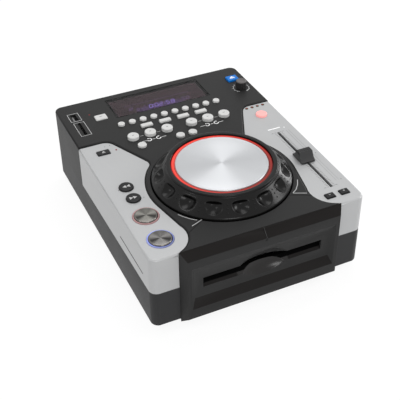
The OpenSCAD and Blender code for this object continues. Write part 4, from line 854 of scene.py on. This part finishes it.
class PLAYER_OT_keys(bpy.types.Operator):
    """Round, bar and rectangular keys, with the marks on them"""
    bl_idname = "player.keys"
    bl_label = "Keys"

    def execute(self, context):
        for name, count, radius, dish in ROUND_KEYS:
            for node in numbered(name + "_key_", count):
                round_cap(node, "Light key plastic", radius, Z_PANEL, RISE[name], dish)
        round_cap("lit_key", "Lit key plastic", 6.0, Z_WING, RISE["lit"], 0.1)
        for node, way in zip(numbered("search_key_", 2), (-1, 1)):
            round_cap(node, "Dark key plastic", 7.2, Z_WING, RISE["search"], 0.2, 0.7)
            self.search_mark(node, way)
        rim = band(0.35, Z, above=Z_WING + 0.1)
        for node in (*numbered("bar_key_", 4), "source_key"):
            soft_copy(node, "Light key plastic", node, rim)
        soft_copy("open_key", "Blue key plastic", "open_key", rim)
        soft_copy("wing_key", "Dark key plastic", "wing_key", rim)
        for node, plus in zip(numbered("bend_key_", 2), (False, True)):
            soft_copy(node, "Dark key plastic", node, rim)
            self.bend_mark(node, plus)
        self.eject_mark("open_key", Z_PANEL + RISE["open"], "Bright print", 3.2)
        self.eject_mark("wing_key", Z_WING + RISE["wing"], "White print", 1.7)
        for node in numbered("large_key_", 6):
            self.dash(node, Z_PANEL + RISE["large"] - 0.24, 2.2)
        self.dash("source_key", Z_PANEL + RISE["source"], 3.6)
        return {"FINISHED"}

    def mark(self, bm, node, finish="White print"):
        add_solid(bm, node + "_mark", finish, node)

    def search_mark(self, node, way):
        x, y = middle(node)
        z = Z_WING + RISE["search"] - 0.17
        bm = bmesh.new()
        for start in (-3.8, 0.1):
            points = [(x + way * start, y - 2.1), (x + way * (start + 3.7), y), (x + way * start, y + 2.1)]
            prism(bm, points if way > 0 else points[::-1], z, z + 0.09)
        self.mark(bm, node)

    def bend_mark(self, node, plus):
        x, y = middle(node)
        z = Z_WING + RISE["bend"]
        bm = bmesh.new()
        line(bm, [(x - 1.1, y + 0.6), (x + 1.1, y + 0.6)], 0.45, z - 0.02, z + 0.05)
        if plus:
            line(bm, [(x, y - 0.5), (x, y + 1.7)], 0.45, z - 0.02, z + 0.06)
        self.mark(bm, node)

    def eject_mark(self, node, z, finish, size):
        x, y = middle(node)
        bm = bmesh.new()
        prism(bm, [(x - size, y - 0.3), (x + size, y - 0.3), (x, y + size * 0.95)], z - 0.02, z + 0.05)
        prism(bm, [(x - size, y - 1.5), (x + size, y - 1.5), (x + size, y - 0.8), (x - size, y - 0.8)],
              z - 0.02, z + 0.05)
        self.mark(bm, node, finish)

    def dash(self, node, z, length):
        x, y = middle(node)
        bm = bmesh.new()
        line(bm, [(x - length / 2, y + 0.4), (x + length / 2, y + 0.4)], 0.5, z - 0.04, z + 0.05)
        self.mark(bm, node, "Grey print")


class PLAYER_OT_buttons(bpy.types.Operator):
    """Cue and play buttons: spun metal caps with a bright rim inside rings that light up"""
    bl_idname = "player.buttons"
    bl_label = "Cue and play"

    def execute(self, context):
        for node, metal, light, slot in (("cue_button", "Cue metal", "Cue light ring", "key_lit"),
                                         ("play_button", "Play metal", "Play light ring", "key_blue")):
            centre = middle(node)
            low, deck = 83.9, Z_WING + 0.7
            top = Z_WING + 1.8
            cap = bmesh.new()
            turned(cap, [(0, deck - 0.6), (10.95, deck - 0.6), (10.95, top - 0.8), (10.8, top - 0.45),
                         (10.5, top - 0.18), (10.1, top - 0.04), (9.7, top), (5, top - 0.03), (0, top - 0.03)],
                   centre, segments=96)
            outward(cap)
            for face in cap.faces:
                p = face.calc_center_median()
                if p.z > deck and math.hypot(p.x - centre[0], p.y - centre[1]) > 9.75:
                    face.material_index = 1
            add_piece(node + "_cap", to_mesh(cap, node + "_cap"), (metal, "Polished rim"), node,
                      (node,))
            ring = bmesh.new()
            turned(ring, [(0, STEM_FOOT), (1.4, STEM_FOOT), (1.4, low - KEY_FLANGE), (13.7, low - KEY_FLANGE),
                          (13.7, low), (12.5, low), (12.5, deck - 0.3), (12.35, deck - 0.08), (12.0, deck),
                          (11.2, deck), (11.05, deck - 0.1), (11.02, deck - 0.65), (0, deck - 0.65)],
                   centre, segments=96)
            add_solid(ring, node + "_ring", light, node)
        return {"FINISHED"}


SEGMENTS = {"0": "abcdef", "1": "bc", "2": "abged", "3": "abgcd", "4": "fgbc", "5": "afgcd", "6": "afgedc",
            "7": "abc", "8": "abcdefg", "9": "abcdfg"}
# How far the digits lean for each millimetre of height, where the time's digits stand and how high all lie.
LEAN = 0.22
TIME_Y = 97.4
Z_DIGITS = 85.75


def digit(bm, character, x, y, height, z, thick):
    """Adds a seven-segment digit whose lower left corner is at x, y."""
    w, h = height * 0.56, height / 2
    bars = {"a": ((0, 2 * h), (w, 2 * h)), "b": ((w, h), (w, 2 * h)), "c": ((w, 0), (w, h)), "d": ((0, 0), (w, 0)),
            "e": ((0, 0), (0, h)), "f": ((0, h), (0, 2 * h)), "g": ((0, h), (w, h))}
    for name in SEGMENTS[character]:
        (x0, y0), (x1, y1) = bars[name]
        gap = Vector((x1 - x0, y1 - y0)).normalized() * thick * 0.45
        ends = [(x0 + gap.x, y0 + gap.y), (x1 - gap.x, y1 - gap.y)]
        line(bm, [(x + px + py * LEAN, y + py) for px, py in ends], thick, z, z + 0.1)


class PLAYER_OT_display(bpy.types.Operator):
    """Smoked display window and the digits that shine behind it"""
    bl_idname = "player.display"
    bl_label = "Display"

    def execute(self, context):
        soft_copy("display_window", "Smoked window", "case", band(0.25, Z, above=87.5), 2)
        dress("display_module", "Display face")
        haze = bmesh.new()
        x, y, wide, high = HAZE
        block(haze, (x - wide, y - high, Z_DIGITS - 0.05), (x + wide, y + high, Z_DIGITS - 0.02))
        add_solid(haze, "digit_glow", "Digit haze", "case")
        z = Z_DIGITS
        time = bmesh.new()
        for character, x in zip("00258", (-13.2, -6.6, -1.3, 7.0, 12.9)):
            digit(time, character, x, TIME_Y, 6.4, z, 0.8)
        for x in (-8.3, 4.9):
            for y in (98.8, 101.8):
                spot(time, (x + (y - TIME_Y) * LEAN, y), 0.5, z, z + 0.1, 8)
        add_solid(time, "time_digits", "Digit light", "case")
        faint = bmesh.new()
        for text, start, y, size in (("12", -38.0, 101.5, 4.6), ("01", -28.0, 97.6, 4.6), ("50", 26.2, 97.2, 5.6)):
            for i, character in enumerate(text):
                digit(faint, character, start + i * size * 0.86, y, size, z, 0.6)
        line(faint, [(-17.6, 100.5), (-16.4, 105.5)], 0.5, z, z + 0.1)
        for i in range(26):
            line(faint, [(-38 + i * 3.0, 111.5), (-36.4 + i * 3.0, 111.5)], 0.45, z, z + 0.1)
        add_solid(faint, "small_digits", "Faint digit light", "case")
        # Black border of the window, printed on it.
        border = bmesh.new()
        low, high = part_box("display_window")
        x0, y0, x1, y1 = low[0] / MM + 0.4, low[1] / MM + 0.4, high[0] / MM - 0.4, high[1] / MM - 0.4
        line(border, [(x0, y0), (x1, y0), (x1, y1), (x0, y1)], 0.9, 87.8, 87.84, closed=True)
        add_solid(border, "window_border", "Black print", "case")
        return {"FINISHED"}


class PLAYER_OT_knob(bpy.types.Operator):
    """Ribbed browse knob and pitch fader cap"""
    bl_idname = "player.knob"
    bl_label = "Knob and fader"

    def execute(self, context):
        knob = bmesh.new()
        ribs, fine = 18, 10
        low, top = Z_PANEL + 0.4, Z_PANEL + 9.5
        profile = [(3.0, 77.3), (3.0, low), (5.7, low), (6.0, low + 0.3), (6.0, top - 1.6), (5.8, top - 0.9),
                   (5.3, top - 0.25), (4.7, top), (4.2, top - 0.05), (3.6, top - 0.35), (0, top - 0.4)]
        rings = []
        for i in range(ribs * fine):
            a = math.tau * i / (ribs * fine)
            flute = max(0.0, math.cos(a * ribs)) ** 1.5
            ring = []
            for r, z in profile:
                deep = 0.5 * flute if r > 5.9 or near(z, low + 0.3, 0.01) else 0.15 * flute if r > 5.2 else 0
                ring.append(knob.verts.new((*polar(KNOB, r - deep, a), z)))
            rings.append(ring)
        for i, ring in enumerate(rings):
            after = rings[(i + 1) % len(rings)]
            for k in range(len(profile) - 1):
                knob.faces.new((ring[k], after[k], after[k + 1], ring[k + 1]))
        knob.faces.new([ring[0] for ring in rings])
        outward(knob)
        # The top face gets the lighter copy of the knob's plastic: painted light.
        for face in knob.faces:
            if face.normal.z > 0.5 and face.calc_center_median().z > top - 1:
                face.material_index = 1
        add_piece("knob_cap", to_mesh(knob, "knob_cap", 35), ("Knob plastic", "Knob top"), "knob",
                  ("browse_knob",))
        soft_copy("fader_cap", "Cap plastic", "fader", band(0.35, Z, above=87.3))
        return {"FINISHED"}


def border_path(node, z):
    """Points along a wing's top edge where it meets the dark panel."""
    bm = cad_shape(node)
    links = {}
    for edge in bm.edges:
        a, b = edge.verts
        if not (near(a.co.z, z) and near(b.co.z, z) and edge.calc_face_angle(0) > 1):
            continue
        if on_rim((a.co + b.co) / 2):
            continue
        for one, other in ((a, b), (b, a)):
            links.setdefault(one, []).append(other)
    path = []
    for start in (v for v, others in links.items() if len(others) == 1):
        chain, before = [start], None
        while True:
            onward = [v for v in links[chain[-1]] if v is not before]
            if not onward:
                break
            before = chain[-1]
            chain.append(onward[0])
        if len(chain) > len(path):
            path = chain
    points = [(v.co.x, v.co.y) for v in path]
    bm.free()
    return points


class PLAYER_OT_prints(bpy.types.Operator):
    """Frames, ticks, lines, lamps and arrows printed or set in the panel and the wings"""
    bl_idname = "player.prints"
    bl_label = "Prints and lamps"

    def execute(self, context):
        rise = context.scene.player_looks.print_height / MM
        self.panel_prints(Z_PANEL, Z_PANEL + rise)
        self.wing_prints(Z_WING, Z_WING + rise)
        self.lamps()
        return {"FINISHED"}

    def panel_prints(self, z0, z1):
        white = bmesh.new()
        for x0, x1, y0, y1 in ((-101, -89.4, 103.5, 119.5), (-100, -88.7, 73, 100)):
            line(white, [(x0, y0), (x1, y0), (x1, y1), (x0, y1)], 0.55, z0, z1, closed=True)
        for start, end in ((-60, 100), (115, 235)):
            line(white, arc_points(KNOB, 8.75, start, end), 0.5, z0, z1)
        line(white, arc_points(KNOB, 9.2, -75, -30, 8), 1.1, z0, z1)
        for a in range(-40, 221, 26):
            line(white, [polar(KNOB, r, math.radians(a)) for r in (9.3, 10.4)], 0.4, z0, z1)
        large = [middle(node)[0] for node in numbered("large_key_", 6)]
        y = middle("large_key_1")[1]
        for a, b in ((0, 1), (1, 2), (3, 4), (4, 5)):
            line(white, [(large[a] + 7.6, y), (large[b] - 7.6, y)], 0.45, z0, z1)
        curls = bmesh.new()
        for x in (large[1], large[4]):
            self.curl(curls, x, y - 10.2, z0, z1)
        add_solid(curls, "curled_arrows", "Bright print", "case")
        for points in ([(-61.8, -90.3), (-58.5, -95.5), (-54.2, -101), (-49.4, -105.2)],
                       [(-57.1, -111.1), (-45, -106.5)],
                       [(64.3, -90.4), (60.4, -97.2), (54.9, -103.8), (51.6, -105.8), (49.6, -107.4)],
                       [(49.6, -107.4), (61.5, -113.1)]):
            line(white, points, 0.7, z0, z1)
        add_solid(white, "panel_prints", "White print", "case")
        black = bmesh.new()
        for points in ([(43.8, -108.1), (63.3, -117.5)], [(-63.3, -118.3), (-44.2, -106.9)]):
            line(black, points, 0.8, z0, z1)
        add_solid(black, "panel_seams", "Black print", "case")

    def curl(self, bm, x, y, z0, z1):
        """Two curled arrows under the middle key of three."""
        for side in (-1, 1):
            centre = (x + side * 5.2, y)
            line(bm, arc_points(centre, 2.3, 100 if side > 0 else 80, (100 + 250) if side > 0 else (80 - 250), 18),
                 0.85, z0, z1)
            line(bm, [(x + side * 8.4, y - 0.4), (x + side * 13.4, y - 0.4)], 0.45, z0, z1)
            tip = (centre[0] + side * 0.2, y + 2.3)
            points = [(tip[0] - side * 0.1, tip[1] + 1.0), (tip[0] + side * 1.6, tip[1] + 0.1),
                      (tip[0] - side * 0.1, tip[1] - 0.9)]
            prism(bm, points if side < 0 else points[::-1], z0, z1 + 0.005)
        line(bm, [(x - 1.6, y - 0.4), (x + 1.6, y - 0.4)], 0.45, z0, z1)

    def wing_prints(self, z0, z1):
        white = bmesh.new()
        line(white, [(81.3, 0.9), (95.6, 0.9)], 1.5, z0, z1)
        spot(white, (99.6, -1), 0.7, z0, z1)
        add_solid(white, "wing_prints", "Bright print", "case")
        for side, x0 in (("left", 84.6), ("right", 91.2)):
            tick = bmesh.new()
            line(tick, [(x0, -112), (x0 + 2.4, -112)], 0.32, z0, z1)
            outward(tick)
            add_repeats(tick, "fader_ticks_" + side, "Grey print", "case", 43, (0, 2.5, 0), False)
        grey = bmesh.new()
        for y in (-112, -59.5, -7):
            for x in (82.4, 95.0):
                line(grey, [(x - 0.9, y), (x + 0.9, y)], 0.5, z0, z1)
        for point in ((103.9, -105.8), (104.8, -56.6), (-84.2, 46.2), (-78.9, 46.2), (-97.6, -30.5), (-79.8, -50.6)):
            spot(grey, point, 0.5, z0, z1, 12)
        add_solid(grey, "wing_lines", "Grey print", "case")
        # Black line along each wing's edge where the dark panel stands above it: the joint and a painted shadow of the
        # step.
        border = bmesh.new()
        for side in ("left", "right"):
            line(border, border_path(side + "_wing", Z_WING), 1.3, z0, z1)
        add_solid(border, "wing_border", "Black print", "case")
        faint = bmesh.new()
        for x in (98.6, 101.4):
            line(faint, [(x, -106), (x, -7)], 0.4, z0, z1)
        add_solid(faint, "wing_traces", "Faint print", "case")
        groove = bmesh.new()
        block(groove, (-110.04, -120, 57.3), (-109.9, -62, 58.7))
        add_solid(groove, "side_line", "Black print", "case")

    def lamps(self):
        lamps = bmesh.new()
        for i in range(4):
            x = 81.2 + 6.55 * i
            prism(lamps, [(x - 1.5, LAMPS_Y + 1.0), (x, LAMPS_Y - 1.4), (x + 1.5, LAMPS_Y + 1.0)], Z_WING, 87.05)
        add_solid(lamps, "wing_lamps", "Red lamp", "case")
        dots = bmesh.new()
        spot(dots, (-75.4, 35.9), 0.9, Z_WING, Z_WING + 0.25)
        prism(dots, [(-79.4, 111.2), (-77.6, 110.2), (-79.4, 109.2)], Z_PANEL, Z_PANEL + 0.1)
        add_solid(dots, "small_lamps", "Red lamp", "case")


class PLAYER_OT_sockets(bpy.types.Operator):
    """Rear sockets, mains inlet, rocker and the sockets in the top"""
    bl_idname = "player.sockets"
    bl_label = "Sockets"

    def execute(self, context):
        soft_copy("rear_sockets", "Plated metal", "case", band(0.3, Y, above=REAR_Y + 1), 2)
        for x, colour in ((32, "White insulator"), (50, "Red insulator"), (68, "Orange insulator")):
            bm = bmesh.new()
            turned(bm, [(1.7, 0), (3.4, 0), (3.4, 0.35), (3.2, 0.5), (1.9, 0.5), (1.7, 0.35)], (0, 0), segments=40)
            place = Matrix.Translation((x, 147.98, 26)) @ Matrix.Rotation(-math.pi / 2, 4, "X")
            bmesh.ops.transform(bm, matrix=place, verts=bm.verts)
            add_solid(bm, "insulator_" + str(x), colour, "case")
        soft_copy("mains_inlet", "Socket black", "case", band(0.4, Y, above=REAR_Y + 1), 2)
        soft_copy("power_rocker", "Socket black", "rocker", band(0.3, Y), 2)
        dress("media_sockets", "Dull metal")
        return {"FINISHED"}


INSIDE = {"control_boards": "Boards and track", "main_board": "Board green", "power_supply": "Board green",
          "jog_spindle": "Screw steel", "drive_chassis": "Sheet steel", "turntable": "Socket black",
          "pickup_sled": "Socket black", "sled_gear": "White gear plastic", "feed_roller": "Foot rubber"}


class PLAYER_OT_inside(bpy.types.Operator):
    """Finishes of the boards and the disc drive inside the case"""
    bl_idname = "player.inside"
    bl_label = "Inside"

    def execute(self, context):
        for node, finish in INSIDE.items():
            dress(node, finish)
        return {"FINISHED"}


def white_room(strength):
    """World that lights the object evenly and is plain white where it is seen, mirrored or looked through."""
    world = bpy.data.worlds.new("Plain room")
    bpy.context.scene.world = world
    world.use_nodes = True
    tree = world.node_tree
    light = fill(tree, tree.nodes["Background"], {0: (1, 1, 1, 1), 1: strength})
    seen = add_node(tree, "ShaderNodeBackground", {0: (1, 1, 1, 1), 1: 1.0})
    mix = add_node(tree, "ShaderNodeMixShader", {0: background_rays(tree), 1: light, 2: seen})
    fill(tree, tree.nodes["World Output"], {0: mix})


def background_rays(tree):
    """1 for a ray that shows the background: to the camera, from a mirror or through glass."""
    rays = tree.nodes.new("ShaderNodeLightPath").outputs
    seen = math_node(tree, "MAXIMUM", rays["Is Camera Ray"], rays["Is Glossy Ray"])
    return seen.math("MAXIMUM", rays["Is Transmission Ray"])


def pale_floor():
    """Floor that looks white and keeps a faint shadow."""
    bm = bmesh.new()
    block(bm, (-4000, -4000, -12), (4000, 4000, 0))
    outward(bm)
    floor = new_object("studio_floor", to_mesh(bm, "studio_floor"))
    mat = bpy.data.materials.new("Pale floor")
    mat.use_nodes = True
    floor.data.materials.append(mat)
    tree = mat.node_tree
    shader = fill(tree, tree.nodes["Principled BSDF"],
                  {"Base Color": (0.80, 0.80, 0.80, 1), "Roughness": 0.9, "Specular IOR Level": 0.1})
    glow = add_node(tree, "ShaderNodeEmission", {1: 1.12})
    mix = add_node(tree, "ShaderNodeMixShader", {0: background_rays(tree) * 0.80, 1: shader, 2: glow})
    fill(tree, tree.nodes["Material Output"], {0: mix})


# Each lamp's place and target, and its size, in metres.
LAMPS = {
    "main": ((0.25, 0.55, 1.5), (0, 0, 0.05), (0.8, 0.8)),
    "left": ((-1.0, 0.05, 1.2), (0, -0.05, 0.05), (0.25, 0.20)),
    "right": ((1.35, -0.35, 0.8), (0, -0.05, 0.05), (0.55, 0.4)),
    "low": ((1.35, 0.45, 0.26), (0.05, -0.05, 0.09), (0.35, 0.25)),
    "front": ((-0.25, -1.4, 0.75), (0, -0.05, 0.05), (0.5, 0.4)),
}


def soft_lamp(name, place, target, size, watts):
    data = bpy.data.lights.new(name, "AREA")
    data.shape = "RECTANGLE"
    data.size, data.size_y = size
    data.energy = watts
    lamp = new_object(name, data)
    lamp.location = place
    lamp.rotation_euler = (Vector(target) - Vector(place)).to_track_quat("-Z", "Y").to_euler()


def photo_camera(lens):
    """Camera at the photograph's angle: turned 24 degrees to the left of the front and 37 degrees up."""
    turn, tilt, roll = math.radians(-24.347), math.radians(37.449), math.radians(-0.773)
    back = Vector((math.sin(turn) * math.cos(tilt), -math.cos(turn) * math.cos(tilt), math.sin(tilt)))
    level = Vector((0, 0, 1)).cross(back).normalized()
    rise = back.cross(level)
    right = level * math.cos(roll) + rise * math.sin(roll)
    up = rise * math.cos(roll) - level * math.sin(roll)
    away, aside, above, aim = 792.123, -57.171, 56.117, Vector((0, FRONT_Y, 48))
    place = (back * away + right * aside + up * above + aim) * MM
    data = bpy.data.cameras.new("Photo camera")
    data.lens = lens
    data.sensor_width = 36
    data.clip_start = 0.01
    camera = new_object("Photo camera", data)
    camera.matrix_world = Matrix((
        (right.x, up.x, back.x, place.x), (right.y, up.y, back.y, place.y),
        (right.z, up.z, back.z, place.z), (0, 0, 0, 1)))
    bpy.context.scene.camera = camera


class PLAYER_OT_stage(bpy.types.Operator):
    """Pale floor, soft lights and the camera at the photograph's angle"""
    bl_idname = "player.stage"
    bl_label = "Stage"

    def execute(self, context):
        scene = context.scene
        scene.view_settings.view_transform = "Standard"
        studio = scene.player_studio
        white_room(studio.world)
        pale_floor()
        for side, (place, target, size) in LAMPS.items():
            soft_lamp(side.capitalize() + " light", place, target, size, getattr(studio, side))
        photo_camera(scene.player_looks.lens)
        return {"FINISHED"}


STEPS = (PLAYER_OT_case, PLAYER_OT_block, PLAYER_OT_wheel, PLAYER_OT_keys, PLAYER_OT_buttons, PLAYER_OT_display,
         PLAYER_OT_knob, PLAYER_OT_prints, PLAYER_OT_sockets, PLAYER_OT_inside, PLAYER_OT_stage)


class PLAYER_PT_panel(bpy.types.Panel):
    """Lists the pieces of the disc player"""
    bl_label = "Disc player"
    bl_idname = "PLAYER_PT_panel"
    bl_space_type = "VIEW_3D"
    bl_region_type = "UI"
    bl_category = "Disc player"

    def draw(self, context):
        for step in STEPS:
            self.layout.operator(step.bl_idname)
        for group in ("player_looks", "player_wheel", "player_studio"):
            values = getattr(context.scene, group)
            for name in values.bl_rna.properties.keys():
                if name not in {"rna_type", "name"}:
                    self.layout.prop(values, name)


GROUPS = {"player_looks": PlayerLooks, "player_wheel": WheelLooks, "player_studio": StudioLooks}


def register():
    for name, group in GROUPS.items():
        bpy.utils.register_class(group)
        setattr(bpy.types.Scene, name, bpy.props.PointerProperty(type=group))
    for step in STEPS:
        bpy.utils.register_class(step)
    bpy.utils.register_class(PLAYER_PT_panel)


def unregister():
    bpy.utils.unregister_class(PLAYER_PT_panel)
    for step in reversed(STEPS):
        bpy.utils.unregister_class(step)
    for name, group in GROUPS.items():
        delattr(bpy.types.Scene, name)
        bpy.utils.unregister_class(group)


def main():
    register()
    for step in STEPS:
        group, name = step.bl_idname.split(".")
        getattr(getattr(bpy.ops, group), name)()
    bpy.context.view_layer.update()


if __name__ == "__main__":
    main()
